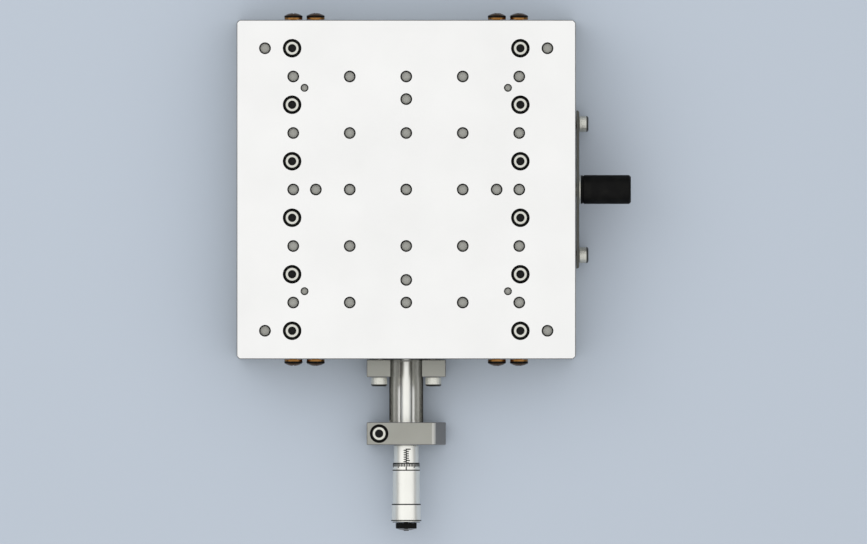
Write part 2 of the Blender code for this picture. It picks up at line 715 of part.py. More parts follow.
def make_contact_block(carriage):
    """The block under the table that the spindle pushes, with its hardened pin and two screws."""
    half = CONTACT_WIDTH / 2
    top = TABLE_UNDERSIDE_Z - SEAT_GAP - AXIS_Z
    lug_front = FRONT_Y + CONTACT_LUG_FRONT
    lug_back = lug_front + CONTACT_LUG_LENGTH
    bm = bmesh.new()
    outline = [(half, top), *arc(half, 0, -pi, ROUND_SIDES // 2), (-half, top)]
    add_prism(bm, outline, CONTACT_LUG_LENGTH, Matrix.Translation((0, lug_back, 0)) @ ALONG_Y)
    block = piece("contact_block", bm, GREY_METAL, carriage, (0, 0, AXIS_Z))
    foot = bmesh.new()
    foot_bottom = top - CONTACT_FOOT_HEIGHT
    add_box(foot, (-half, lug_back - OVERCUT, foot_bottom), (half, lug_back + CONTACT_FOOT_LENGTH, top))
    combine(block, "UNION", foot, "contact_foot")
    cuts = bmesh.new()
    place = Matrix.Translation((0, lug_front, 0)) @ ALONG_Y
    add_rod(cuts, PIN_DIAMETER / 2 + THREAD_GAP, -PIN_DEPTH - HARDWARE_GAP, OVERCUT, place, SMALL_SIDES)
    for y in contact_screw_places():
        clear = M3_THREAD / 2 + SEAT_GAP
        add_rod(cuts, clear, foot_bottom - OVERCUT, top + OVERCUT, Matrix.Translation((0, y, 0)))
    combine(block, "DIFFERENCE", cuts, "contact_cuts")
    bm = bmesh.new()
    tip = SPINDLE_REACH - SEAT_GAP
    add_rod(bm, PIN_DIAMETER / 2, -CONTACT_LUG_FRONT - PIN_DEPTH, tip, sides=SMALL_SIDES)
    piece("contact_pin", bm, RAIL_STEEL, carriage, (0, FRONT_Y, AXIS_Z), (pi / 2, 0, 0))
    for number, y in enumerate(contact_screw_places(), 1):
        location = (0, y, contact_foot_z() - HARDWARE_GAP)
        m3_screw("contact_block_screw_" + str(number), CONTACT_SCREW_LENGTH, carriage, location, (pi, 0, 0))


def spring_points():
    """A hook round the front post, the coil, and a hook round the back post."""
    length = SPRING_BACK_Y - SPRING_FRONT_Y
    hook = POST_DIAMETER / 2 + SEAT_GAP + SPRING_WIRE / 2
    coil = (SPRING_DIAMETER - SPRING_WIRE) / 2
    turns = [radians(degrees) for degrees in range(HOOK_START, HOOK_END + 1, HOOK_STEP)]
    points = [(hook * sin(t), -hook * cos(t), 0) for t in turns]
    span = length - 2 * SPRING_LEAD_IN
    steps = SPRING_TURNS * COIL_STEPS
    for step in range(steps + 1):
        angle = tau * step / COIL_STEPS
        points.append((coil * cos(angle), SPRING_LEAD_IN + span * step / steps, coil * sin(angle)))
    points += [(hook * sin(t), length + hook * cos(t), 0) for t in reversed(turns)]
    return points


def make_spring(side):
    curve = bpy.data.curves.new("return_spring_" + side_label(side), "CURVE")
    curve.dimensions = "3D"
    curve.bevel_depth = SPRING_WIRE / 2
    curve.bevel_resolution = 0
    curve.use_fill_caps = True
    points = spring_points()
    spline = curve.splines.new("POLY")
    spline.points.add(len(points) - 1)
    for target, point in zip(spline.points, points):
        target.co = (*point, 1)
    curve.materials.append(STAINLESS)
    link(curve.name, curve, None, (side * SPRING_X, SPRING_FRONT_Y, SPRING_Z))


def make_bracket(axis):
    """The flange, the half-round arm and the split clamp that hold the micrometer head, as one piece."""
    half = BRACKET_WIDTH / 2
    bottom = BRACKET_BOTTOM_Z - AXIS_Z
    bm = bmesh.new()
    flange = [(-half, bottom), (half, bottom), (half, FLANGE_RISE), (-half, FLANGE_RISE)]
    thickness = FLANGE_THICKNESS - SEAT_GAP
    add_prism(bm, flange, thickness, Matrix.Translation((0, 0, SEAT_GAP)))
    bracket = piece("micrometer_bracket", bm, GREY_METAL, axis)

    arm = bmesh.new()
    overlap = FLANGE_THICKNESS / 2
    side = ARM_WIDTH / 2
    floor = bottom + ARM_SKIN
    outline = [(-side, floor), (side, floor), (side, 0), (-side, 0)]
    add_prism(arm, outline, ARM_LENGTH + 2 * overlap, Matrix.Translation((0, 0, ARM_START - overlap)))
    combine(bracket, "UNION", arm, "bracket_arm")

    clamp = bmesh.new()
    fillet = CLAMP_FLANK_X - CLAMP_SHOULDER_X
    turns = arc(fillet, 0, pi / 2, SHOULDER_STEPS)
    shoulder = [(CLAMP_SHOULDER_X + x, CLAMP_RISE - fillet + y) for x, y in turns]
    outline = [
        (-half, bottom),
        (half, bottom),
        (half, CLAMP_RISE - CLAMP_FLANK_DROP),
        *shoulder,
        (-half, CLAMP_RISE),
    ]
    add_prism(clamp, outline, CLAMP_LENGTH, Matrix.Translation((0, 0, CLAMP_START)))
    combine(bracket, "UNION", clamp, "bracket_clamp")

    cuts = bmesh.new()
    over = CLAMP_RISE + OVERCUT
    trough = [(GROOVE_RADIUS, over), *arc(GROOVE_RADIUS, 0, -pi, ROUND_SIDES // 2), (-GROOVE_RADIUS, over)]
    add_prism(cuts, trough, CLAMP_START + OVERCUT, Matrix.Translation((0, 0, -OVERCUT)))
    for sign in (-1, 1):
        place = Matrix.Translation((sign * BRACKET_SCREW_X, BRACKET_SCREW_RISE, 0))
        add_rod(cuts, M4_THREAD / 2 + SEAT_GAP, -OVERCUT, FLANGE_THICKNESS + OVERCUT, place)
    combine(bracket, "DIFFERENCE", cuts, "bracket_cuts")

    bore = bmesh.new()
    radius = STEM_DIAMETER / 2 + THREAD_GAP
    add_rod(bore, radius, CLAMP_START - OVERCUT, CLAMP_END + OVERCUT, sides=ROUND_SIDES)
    combine(bracket, "DIFFERENCE", bore, "bracket_bore")

    slit = bmesh.new()
    low = (-half - OVERCUT, -CLAMP_SLIT / 2, CLAMP_START - OVERCUT)
    high = (0, CLAMP_SLIT / 2, CLAMP_END + OVERCUT)
    add_box(slit, low, high)
    combine(bracket, "DIFFERENCE", slit, "bracket_slit")

    hole = bmesh.new()
    place = Matrix.Translation((-CLAMP_SCREW_X, CLAMP_RISE, CLAMP_MIDDLE)) @ Matrix.Rotation(-pi / 2, 4, "X")
    depth = M4_COUNTERBORE_DEPTH + CLAMP_SCREW_LENGTH + SEAT_GAP
    clear = M4_THREAD / 2 + THREAD_GAP
    add_counterbored(hole, clear, depth, M4_COUNTERBORE / 2, M4_COUNTERBORE_DEPTH, place)
    combine(bracket, "DIFFERENCE", hole, "bracket_clamp_hole")


def make_bracket_screws(axis):
    for sign in (-1, 1):
        location = (sign * BRACKET_SCREW_X, BRACKET_SCREW_RISE, FLANGE_THICKNESS + HARDWARE_GAP)
        m4_screw("bracket_screw_" + side_label(sign), BRACKET_SCREW_LENGTH, axis, location)
    seat = CLAMP_RISE - M4_COUNTERBORE_DEPTH + HARDWARE_GAP
    location = (-CLAMP_SCREW_X, seat, CLAMP_MIDDLE)
    m4_screw("clamp_screw", CLAMP_SCREW_LENGTH, axis, location, (-pi / 2, 0, 0))


def turned_piece(name, profile, finish, parent, sides=ROUND_SIDES, closed=True):
    bm = bmesh.new()
    add_turned(bm, profile, sides, closed=closed)
    return piece(name, bm, finish, parent)


def make_barrel(axis):
    """The stem in the clamp, the seat of the scale sleeve, and the threaded end with its adjusting nut."""
    stem = STEM_DIAMETER / 2
    sleeve = SLEEVE_DIAMETER / 2
    seat = sleeve - SLEEVE_WALL - THREAD_GAP
    nut_seat = seat - NUT_WALL / 2
    narrow = SPINDLE_DIAMETER / 2 + THREAD_GAP
    wide = SPINDLE_THREAD / 2 + THREAD_GAP
    turned_piece("micrometer_barrel", [
        (narrow, CLAMP_START),
        (stem, CLAMP_START),
        (stem, CLAMP_END),
        (seat, CLAMP_END),
        (seat, SLEEVE_END + SEAT_GAP),
        (nut_seat, SLEEVE_END + SEAT_GAP),
        (nut_seat, BARREL_END),
        (wide, BARREL_END),
        (wide, BORE_STEP),
        (narrow, BORE_STEP),
    ], CHROME, axis)
    turned_piece("scale_sleeve", [
        (sleeve - SLEEVE_WALL, SLEEVE_START),
        (sleeve, SLEEVE_START),
        (sleeve, SLEEVE_END),
        (sleeve - SLEEVE_WALL, SLEEVE_END),
    ], CHROME, axis)
    middle = BARREL_END - NUT_SEAT_LENGTH / 2
    inner = nut_seat + THREAD_GAP
    turned_piece("adjusting_nut", [
        (inner, middle - NUT_LENGTH / 2),
        (inner + NUT_WALL, middle - NUT_LENGTH / 2),
        (inner + NUT_WALL, middle + NUT_LENGTH / 2),
        (inner, middle + NUT_LENGTH / 2),
    ], DARK_STEEL, axis)


def make_spindle(axis):
    """The keyed spindle: measuring tip, plain shaft, threaded part and the nose that carries the thimble."""
    plain = SPINDLE_DIAMETER / 2
    nose = SPINDLE_NOSE / 2
    end = THIMBLE_END - HARDWARE_GAP
    bore = RATCHET_SCREW_THREAD / 2 + HARDWARE_GAP
    turned_piece("spindle", [
        (plain, SPINDLE_REACH),
        (plain, SPINDLE_STEP),
        (SPINDLE_THREAD / 2, SPINDLE_STEP),
        (SPINDLE_THREAD / 2, THIMBLE_FLOOR - HARDWARE_GAP),
        (nose, THIMBLE_FLOOR - HARDWARE_GAP),
        (nose, end),
        (bore, end),
        (bore, THIMBLE_FLOOR - HARDWARE_GAP),
    ], CHROME, axis, closed=False)


def make_thimble(axis):
    """The thimble: graduated band, plain body, knurled grip, collar and tapered tail."""
    body = THIMBLE_DIAMETER / 2
    grip = GRIP_DIAMETER / 2
    inside = SLEEVE_DIAMETER / 2 + THREAD_GAP
    bore = SPINDLE_NOSE / 2 + THREAD_GAP
    ease = grip - body
    turned_piece("thimble", [
        (inside, THIMBLE_EDGE),
        (THIMBLE_EDGE_DIAMETER / 2, THIMBLE_EDGE),
        (body, BAND_END),
        (body, BODY_END - ease),
        (grip, BODY_END),
        (grip, GRIP_END - ease),
        (COLLAR_DIAMETER / 2, GRIP_END),
        (body, GRIP_END + TAIL_LENGTH),
        (body - HARDWARE_GAP, THIMBLE_END),
        (bore, THIMBLE_END),
        (bore, THIMBLE_FLOOR),
        (inside, THIMBLE_FLOOR),
    ], CHROME, axis)


def make_ratchet(axis):
    """The ratchet cap behind the thimble and the screw that holds it in the spindle's nose."""
    start = THIMBLE_END + HARDWARE_GAP
    end = start + RATCHET_LENGTH
    rim = RATCHET_DIAMETER / 2
    bore = RATCHET_SCREW_THREAD / 2 + HARDWARE_GAP
    turned_piece("ratchet_stop", [
        (bore, start),
        (rim - RATCHET_CHAMFER, start),
        (rim, start + RATCHET_CHAMFER),
        (rim, end - RATCHET_CHAMFER),
        (rim - RATCHET_CHAMFER, end),
        (bore, end),
    ], BLACK_OXIDE, axis)
    seat = end + HARDWARE_GAP
    thread = RATCHET_SCREW_THREAD / 2
    head = RATCHET_SCREW_HEAD / 2
    top = seat + RATCHET_SCREW_HEAD_HEIGHT
    turned_piece("ratchet_screw", [
        (thread, THIMBLE_FLOOR + SEAT_GAP),
        (thread, seat),
        (head, seat),
        (head - RATCHET_SCREW_HEAD_HEIGHT, top),
        (NUB_DIAMETER / 2, top),
        (NUB_DIAMETER / 2, top + NUB_HEIGHT),
    ], DARK_STEEL, axis, SMALL_SIDES, closed=False)


def make_lock_plate():
    """The slotted plate on the side of the base, which the lock knob clamps to the table."""
    half = LOCK_PLATE_LENGTH / 2
    bm = bmesh.new()
    add_box(bm, (SEAT_GAP, -half, LOCK_PLATE_BOTTOM_Z), (PLATE_OUTER, half, LOCK_PLATE_TOP_Z))
    edges = []
    for edge in bm.edges:
        ends = [vert.co for vert in edge.verts]
        outer = all(co.x > PLATE_OUTER - MERGE_DISTANCE for co in ends)
        if outer and abs(ends[0].y - ends[1].y) < MERGE_DISTANCE:
            edges.append(edge)
    bevel(bm, edges, LOCK_PLATE_ROUND, PLATE_ROUND_STEPS)
    plate = piece("lock_plate", bm, DARK_OLIVE, None, (SIDE_X, 0, 0))
    cuts = bmesh.new()
    radius = LOCK_STUD_DIAMETER / 2 + SEAT_GAP
    reach = TRAVEL + SEAT_GAP
    ends = arc(radius, 0, pi, SMALL_SIDES // 2)
    outline = [(x, y + reach) for x, y in ends] + [(-x, -y - reach) for x, y in ends]
    place = Matrix.Translation((-OVERCUT, 0, LOCK_STUD_Z)) @ ALONG_X
    add_prism(cuts, outline, PLATE_OUTER + 2 * OVERCUT, place)
    for sign in (-1, 1):
        place = Matrix.Translation((0, sign * LOCK_PLATE_SCREW_Y, BASE_HEIGHT / 2)) @ ALONG_X
        add_rod(cuts, M4_THREAD / 2 + SEAT_GAP, -OVERCUT, PLATE_OUTER + OVERCUT, place)
    combine(plate, "DIFFERENCE", cuts, "lock_plate_cuts")
    for sign in (-1, 1):
        location = (SIDE_X + PLATE_OUTER + HARDWARE_GAP, sign * LOCK_PLATE_SCREW_Y, BASE_HEIGHT / 2)
        name = "lock_plate_screw_" + end_label(sign)
        m4_screw(name, PLATE_SCREW_LENGTH, None, location, (0, pi / 2, 0))


def make_lock(axis):
    """The stud in the table's side, the washer and the knurled knob on it."""
    stud = LOCK_STUD_DIAMETER / 2
    stud_end = KNOB_START + LOCK_STUD_IN_KNOB
    turned_piece(
        "lock_stud", [(stud, -LOCK_STUD_DEPTH), (stud, stud_end)], STAINLESS, axis, SMALL_SIDES, closed=False
    )
    hole = stud + THREAD_GAP
    turned_piece("lock_washer", [
        (hole, WASHER_START),
        (LOCK_WASHER_DIAMETER / 2, WASHER_START),
        (LOCK_WASHER_DIAMETER / 2, WASHER_START + LOCK_WASHER_THICKNESS),
        (hole, WASHER_START + LOCK_WASHER_THICKNESS),
    ], STAINLESS, axis)
    rim = LOCK_KNOB_DIAMETER / 2
    groove = LOCK_KNOB_GROOVE
    turned_piece("lock_knob", [
        (hole, stud_end + SEAT_GAP),
        (hole, KNOB_START),
        (rim - groove, KNOB_START),
        (rim, KNOB_START + groove),
        (rim, KNOB_START + 2 * groove),
        (rim - groove, KNOB_START + 3 * groove),
        (rim, KNOB_START + 4 * groove),
        (rim, KNOB_END - LOCK_KNOB_CHAMFER),
        (rim - LOCK_KNOB_CHAMFER, KNOB_END),
    ], BLACK_OXIDE, axis, closed=False)


clear_scene()
WHITE_FINISH = material("white_satin_finish", (0.85, 0.85, 0.84), 0.45, 0.1)
GREY_METAL = material("warm_grey_metal", (0.33, 0.33, 0.30), 0.4, 0.6)
RAIL_STEEL = material("ground_rail_steel", (0.55, 0.55, 0.54), 0.25, 1.0)
STAINLESS = material("stainless_steel", (0.52, 0.52, 0.46), 0.3, 1.0)
BRONZE = material("bronze_plated_steel", (0.55, 0.28, 0.10), 0.25, 1.0)
DARK_STEEL = material("dark_steel", (0.08, 0.08, 0.08), 0.4, 0.9)
CHROME = material("satin_chrome", (0.70, 0.70, 0.70), 0.22, 1.0)
BLACK_OXIDE = material("black_oxide", (0.02, 0.02, 0.02), 0.4, 0.5)
DARK_OLIVE = material("dark_olive_plate", (0.09, 0.09, 0.08), 0.45, 0.4)

carriage_origin = link("table_carriage", None)
micrometer_axis = link("micrometer_axis", None, None, (0, FRONT_Y, AXIS_Z), (pi / 2, 0, 0))
lock_axis = link("lock_axis", None, carriage_origin, (SIDE_X, 0, LOCK_STUD_Z), (0, pi / 2, 0))

make_base()
make_table(carriage_origin)
for stage_side in (-1, 1):
    make_base_rail(stage_side)
    make_table_rail(stage_side, carriage_origin)
    make_cage(stage_side)
    make_spring(stage_side)
make_rail_screws(carriage_origin)
make_end_screws(carriage_origin)
make_preload_screws(carriage_origin)
make_contact_block(carriage_origin)
make_bracket(micrometer_axis)
make_bracket_screws(micrometer_axis)
make_barrel(micrometer_axis)
make_spindle(micrometer_axis)
make_thimble(micrometer_axis)
make_ratchet(micrometer_axis)
make_lock_plate()
make_lock(lock_axis)
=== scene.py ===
"""Looks of the linear adjustment stage: pieces, finishes, scales, floor and light round its frame.

Shapes are worked in millimetres and scaled to metres when a piece is finished.
"""

from math import cos, pi, radians, sin, sqrt, tau

import bmesh
import bpy
from mathutils import Matrix, Vector


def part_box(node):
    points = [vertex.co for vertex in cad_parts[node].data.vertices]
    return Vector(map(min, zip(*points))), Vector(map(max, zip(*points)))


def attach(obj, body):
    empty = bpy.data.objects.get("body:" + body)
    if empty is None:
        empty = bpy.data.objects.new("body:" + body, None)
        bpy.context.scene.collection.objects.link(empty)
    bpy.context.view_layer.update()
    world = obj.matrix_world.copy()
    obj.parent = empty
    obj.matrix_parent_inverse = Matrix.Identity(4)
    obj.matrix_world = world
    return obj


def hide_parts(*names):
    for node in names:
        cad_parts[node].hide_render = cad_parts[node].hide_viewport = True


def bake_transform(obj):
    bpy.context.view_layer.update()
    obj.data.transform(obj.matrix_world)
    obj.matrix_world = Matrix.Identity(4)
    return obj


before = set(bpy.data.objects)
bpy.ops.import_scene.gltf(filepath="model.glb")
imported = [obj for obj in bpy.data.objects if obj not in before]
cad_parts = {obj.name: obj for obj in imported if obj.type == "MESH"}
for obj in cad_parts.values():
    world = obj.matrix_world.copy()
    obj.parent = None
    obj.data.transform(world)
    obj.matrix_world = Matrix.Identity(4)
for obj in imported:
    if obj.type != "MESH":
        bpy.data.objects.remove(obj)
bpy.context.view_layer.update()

UNIT = 0.001
SAME_PLACE = 1e-4
SHARP_SHADE = 30
SHARP_EDGE = 35
BUMP_DEPTH = 0.00002
FINE_ROUND = 128
ROUND = 64
SMALL_ROUND = 40
ROUGH_ROUND = 24
OVERCUT = 1.0
SIDES = ((-1, "left"), (1, "right"))
ENDS = ((-1, "front"), (1, "back"))


def extent(node):
    """Lowest and highest corner of a CAD node, in millimetres."""
    low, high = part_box(node)
    return Vector(low) / UNIT, Vector(high) / UNIT


def shift(x, y, z):
    return Matrix.Translation((x, y, z))


def spun(angle, axis):
    return Matrix.Rotation(angle, 4, axis)


# The stage's own places, read from the frame
TABLE_LOW, TABLE_HIGH = extent("table_top")
OUTER_RAIL_LOW, OUTER_RAIL_HIGH = extent("table_rail_right")
INNER_RAIL_LOW, INNER_RAIL_HIGH = extent("base_rail_right")
SIDE = TABLE_HIGH.x
FRONT = TABLE_LOW.y
TOP = TABLE_HIGH.z
PAIR_X = (OUTER_RAIL_LOW.x + INNER_RAIL_HIGH.x) / 2
RAIL_Z = (OUTER_RAIL_LOW.z + OUTER_RAIL_HIGH.z) / 2
RAIL_BOTTOM = OUTER_RAIL_LOW.z
RAIL_TOP = OUTER_RAIL_HIGH.z
RAIL_HEIGHT = RAIL_TOP - RAIL_BOTTOM
RAIL_NEAR = OUTER_RAIL_LOW.x - PAIR_X
RAIL_FAR = OUTER_RAIL_HIGH.x - PAIR_X
AXIS_Z = sum(corner.z for corner in extent("spindle")) / 2
LOCK_Z = sum(corner.z for corner in extent("lock_stud")) / 2

# Sizes repeated from the construction, in millimetres
SEAT_GAP = 0.3
BASE_FLANGE = 12.5
UNDERSIDE_RELIEF = 0.9
CORNER = 1.2
EDGE_BREAK = 0.3
HOLE_BREAK = 0.12
SCREW_PITCH = 25.0
SCREW_LINE = 5.5
END_SCREW_LINE = 4.9
GRID_PITCH = 25.0
TAP_RADIUS = 2.5
TAP_DEPTH = 10.0
TAP_PITCH = 1.0
CENTRE_HOLES = 40.0
CORNER_HOLES = 62.5
SMALL_TAP_RADIUS = 1.65
SMALL_TAP_DEPTH = 8.0
SMALL_TAP_PITCH = 0.7
SMALL_TAP_OFFSET = 45.0
COUNTERBORE_RADIUS = 4.0
COUNTERBORE_DEPTH = 4.5
CLEARANCE_RADIUS = 2.3
# Width of the painted shade band at the top of the cap screws' heads
HEAD_SHADE_BAND = 0.9
SCREW_HOLE_RADIUS = 2.15
SCREW_LIFT = 0.1
M4 = {"thread": 4.0, "head": 7.0, "height": 4.0, "socket": 3.0, "length": 12.0}
M3 = {"thread": 3.0, "head": 5.5, "height": 3.0, "socket": 2.5, "length": 10.0}
PAN_RADIUS = 4.0
PAN_HEIGHT = 3.0
END_SCREW_LENGTH = 7.5
ROLLER_RADIUS = 1.5
ROLLER_PITCH = 5.0
SPRING_X = 20.0
SPRING_FRONT = -45.0
SPRING_BACK = 20.0
SPRING_Z = 16.5
POST_RADIUS = 1.0
POST_REACH = 2.5
GROOVE_HALF = 4.0
GROOVE_FRONT = SPRING_FRONT - 4.0
GROOVE_BACK = SPRING_BACK + 10.5
POCKET_HALF = 7.5
POCKET_FLOOR = 4.65
POCKET_BACK = -43.0
BRACKET_HALF = 17.5
BRACKET_BOTTOM = -10.0
FLANGE = 8.0
FLANGE_RISE = 8.5
ARM_HALF = 7.5
TROUGH_RADIUS = 7.05
CLAMP_START = 28.0
CLAMP_END = 38.0
CLAMP_RISE = 9.0
SHOULDER_X = 11.4
FLANK_X = 13.1
FLANK_FOOT = -4.0
CLAMP_SLIT = 1.5
BRACKET_SCREW_X = 12.0
BRACKET_SCREW_RISE = 3.0
SLEEVE_RADIUS = 5.5
THIMBLE_RADIUS = 6.0
THIMBLE_EDGE_RADIUS = 5.85
THIMBLE_BAND = 3.3
THIMBLE_END_WALL = 4.3
SCALE_LENGTH = 13
DIVISIONS = 50
SCALE_LINE = 0.5
LOCK_SCREW_Y = 29.0
LOCK_HOLE_RADIUS = 3.15
LOCK_HOLE_DEPTH = 12.3

MICROMETER = shift(0, FRONT, AXIS_Z) @ spun(pi / 2, "X")
LOCK = shift(SIDE, 0, LOCK_Z) @ spun(pi / 2, "Y")
ALONG_Y = spun(pi / 2, "X")
ALONG_X = spun(pi / 2, "Y")
AGAINST_X = spun(-pi / 2, "Y")
UPSIDE_DOWN = spun(pi, "X")


class Value:
    """One output of a material's nodes. Sums on it add Math nodes."""

    def __init__(self, paint, socket):
        self.paint = paint
        self.socket = socket

    def math(self, operation, first, second):
        return self.paint.node("Math", {"operation": operation}, {0: first, 1: second})

    def __add__(self, other):
        return self.math("ADD", self, other)

    def __rsub__(self, other):
        return self.math("SUBTRACT", other, self)

    def __mul__(self, other):
        return self.math("MULTIPLY", self, other)


class Paint:
    """A procedural finish. Its patterns are measured in metres on Object coordinates."""

    def __init__(self, name, roughness, metallic):
        self.material = bpy.data.materials.new(name)
        self.material.use_nodes = True
        self.tree = self.material.node_tree
        self.shader = self.tree.nodes["Principled BSDF"]
        self.roughness(roughness)
        self.put(self.shader.inputs["Metallic"], metallic)

    def put(self, socket, value):
        if isinstance(value, Value):
            self.tree.links.new(value.socket, socket)
        else:
            socket.default_value = value

    def node(self, kind, settings, sockets, output=0):
        made = self.tree.nodes.new("ShaderNode" + kind)
        for name, value in settings.items():
            setattr(made, name, value)
        for key, value in sockets.items():
            self.put(made.inputs[key], value)
        return Value(self, made.outputs[output])

    def where(self, stretch=(1, 1, 1)):
        place = self.node("TexCoord", {}, {}, "Object")
        return self.node("Mapping", {}, {"Vector": place, "Scale": stretch})

    def noise(self, size, detail=2.0, stretch=(1, 1, 1)):
        """Smooth noise whose features are about as large as size, in metres."""
        return self.node("TexNoise", {}, {"Vector": self.where(stretch), "Scale": 1 / size, "Detail": detail})

    def mix(self, factor, first, second):
        return self.node("Mix", {"data_type": "RGBA"}, {0: factor, 6: (*first, 1.0), 7: (*second, 1.0)}, 2)

    def colour(self, value):
        self.put(self.shader.inputs["Base Color"], value)

    def roughness(self, value):
        self.put(self.shader.inputs["Roughness"], value)

    def bump(self, height, strength):
        self.put(self.shader.inputs["Normal"], self.node(
            "Bump", {}, {"Height": height, "Strength": strength, "Distance": BUMP_DEPTH}
        ))


def sharpened(value, low, high):
    """Spreads the middle of a noise over the full range."""
    return value.paint.node("MapRange", {}, {"Value": value, "From Min": low, "From Max": high})


def white_satin():
    """Fine-blasted, clear-sealed white plate with faint clouding."""
    paint = Paint("white_satin", 0.42, 0.0)
    cloud = sharpened(paint.noise(0.03, 3.0), 0.3, 0.7)
    paint.colour(paint.mix(cloud, (0.86, 0.86, 0.85), (0.90, 0.90, 0.89)))
    grain = paint.noise(0.0003, 2.0)
    paint.roughness(grain * 0.12 + 0.38)
    paint.bump(grain, 0.12)
    return paint.material


def machined(name, dark, light, roughness, metallic, stretch=(1, 1, 1), grain_size=0.0004):
    """Bare machined metal: tool lines along one direction, slightly uneven in tone."""
    paint = Paint(name, roughness, metallic)
    lines = paint.noise(grain_size, 3.0, stretch)
    cloud = paint.noise(0.012, 2.0)
    tone = sharpened(lines * 0.6 + cloud * 0.4, 0.35, 0.65)
    paint.colour(paint.mix(tone, dark, light))
    paint.roughness(lines * 0.2 + (roughness - 0.1))
    paint.bump(lines, 0.15)
    return paint.material


def bored_finish():
    """The bracket's bored trough, painted light along its bottom and painted shade up its sides, by distance
    from its axis.
    """
    paint = Paint("trough_metal_painted_shade", 0.2, 0.95)
    lines = paint.noise(0.0004, 3.0, (14, 1, 14))
    across = paint.node("SeparateXYZ", {}, {"Vector": paint.where()})
    # Painted shade: the colour darkens with distance across the axis, so the trough's sides and the flange's
    # screw holes come out dark.
    painted_wall_shade = sharpened(paint.node("Math", {"operation": "ABSOLUTE"}, {0: across}), 0.0034, 0.0064)
    streaks = sharpened(lines, 0.35, 0.65)
    paint.colour(paint.mix(painted_wall_shade * 0.85 + streaks * 0.15, (0.90, 0.90, 0.88), (0.22, 0.22, 0.20)))
    paint.roughness(lines * 0.2 + 0.1)
    paint.bump(lines, 0.15)
    return paint.material


def black_finish():
    """Blackened steel, a little browner and glossier where hands polish it. The same black also serves as
    painted shade.
    """
    paint = Paint("black_oxide", 0.4, 0.0)
    paint.shader.inputs["Specular IOR Level"].default_value = 0.1
    wear = sharpened(paint.noise(0.004, 3.0), 0.4, 0.8)
    paint.colour(paint.mix(wear, (0.002, 0.002, 0.002), (0.006, 0.006, 0.005)))
    paint.roughness(0.5 - wear * 0.1)
    return paint.material


# Black of the printed scales, also used as painted shade on the thimble's rings.
def ink_and_shade():
    paint = Paint("scale_ink_and_painted_shade", 0.6, 0.0)
    paint.shader.inputs["Specular IOR Level"].default_value = 0.1
    spread = paint.noise(0.0004, 2.0)
    paint.colour(paint.mix(spread, (0.004, 0.004, 0.004), (0.012, 0.012, 0.012)))
    return paint.material


def bronze_finish():
    """Polished bronze-coloured plating, a little darker in patches."""
    paint = Paint("bronze_plating", 0.2, 1.0)
    patch = sharpened(paint.noise(0.002, 3.0), 0.35, 0.7)
    paint.colour(paint.mix(patch, (0.24, 0.11, 0.025), (0.36, 0.18, 0.06)))
    paint.roughness(patch * 0.1 + 0.14)
    return paint.material


WHITE = white_satin()
GREY = machined("warm_grey_satin", (0.30, 0.30, 0.265), (0.35, 0.35, 0.315), 0.42, 0.25, (1, 12, 1))
# A darker copy of the grey metal: painted shade on slanted faces, on chamfers and on the ratchet screw's
# dome.
SHADE_GREY = machined("grey_metal_painted_shade", (0.15, 0.15, 0.15), (0.18, 0.18, 0.18), 0.5, 0.2, (1, 1, 12))
SHADED_TROUGH = bored_finish()
# A lighter copy of the grey metal: painted light on the clamp's rounded shoulder.
LIT_GREY = machined("grey_metal_painted_light", (0.46, 0.46, 0.43), (0.54, 0.54, 0.51), 0.45, 0.3, (1, 1, 12))
# Near-black painted shade for the insides and threads of holes, the spring posts and the bracket arm's narrow
# top faces.
SHADE_BLACK = machined("near_black_painted_shade", (0.008, 0.008, 0.008), (0.02, 0.02, 0.018), 0.5, 0.5)
HOLE_FLOOR = machined("faced_hole_floor", (0.34, 0.34, 0.31), (0.40, 0.40, 0.37), 0.2, 1.0)
GROUND = machined("ground_rail_steel", (0.45, 0.45, 0.44), (0.62, 0.62, 0.60), 0.25, 0.9, (14, 1, 14))
STAINLESS = machined("stainless_steel", (0.60, 0.60, 0.54), (0.72, 0.72, 0.66), 0.3, 0.8)
# Near-black painted shade inside the hexagon sockets and on their mouths.
SOCKET = machined("shaded_socket", (0.004, 0.004, 0.004), (0.02, 0.02, 0.02), 0.6, 0.5)
CHROME = machined("satin_chrome", (0.80, 0.80, 0.75), (0.90, 0.90, 0.85), 0.38, 0.9, (1, 14, 1), 0.0003)
# Blackened steel of the adjusting nut and preload screws; also the painted shade on the cap screws' head
# bands.
DARK_STEEL_AND_SHADE = machined("blackened_steel_and_painted_shade", (0.03, 0.03, 0.03), (0.07, 0.07, 0.065), 0.38, 0.8)
OLIVE = machined("dark_olive_plate", (0.065, 0.065, 0.055), (0.09, 0.09, 0.08), 0.45, 0.3, (1, 10, 1))
# A darker copy of the bronze plating: painted shade on the pan heads' domes and cross recesses.
SHADED_BRONZE = machined("bronze_plating_painted_shade", (0.05, 0.02, 0.004), (0.09, 0.04, 0.009), 0.25, 1.0)
WIRE = machined("spring_wire", (0.35, 0.35, 0.35), (0.5, 0.5, 0.5), 0.3, 1.0)
BRONZE = bronze_finish()
# Black oxide of the knob, the ratchet cap and the ratchet screw's tip; also black painted shade on the pan
# heads' seams and on the slotted plate's chamfers, slot and holes.
BLACK = black_finish()
INK_AND_SHADE = ink_and_shade()


def tidy(bm):
    bmesh.ops.remove_doubles(bm, verts=bm.verts, dist=SAME_PLACE)
    bmesh.ops.recalc_face_normals(bm, faces=bm.faces)
    return bm


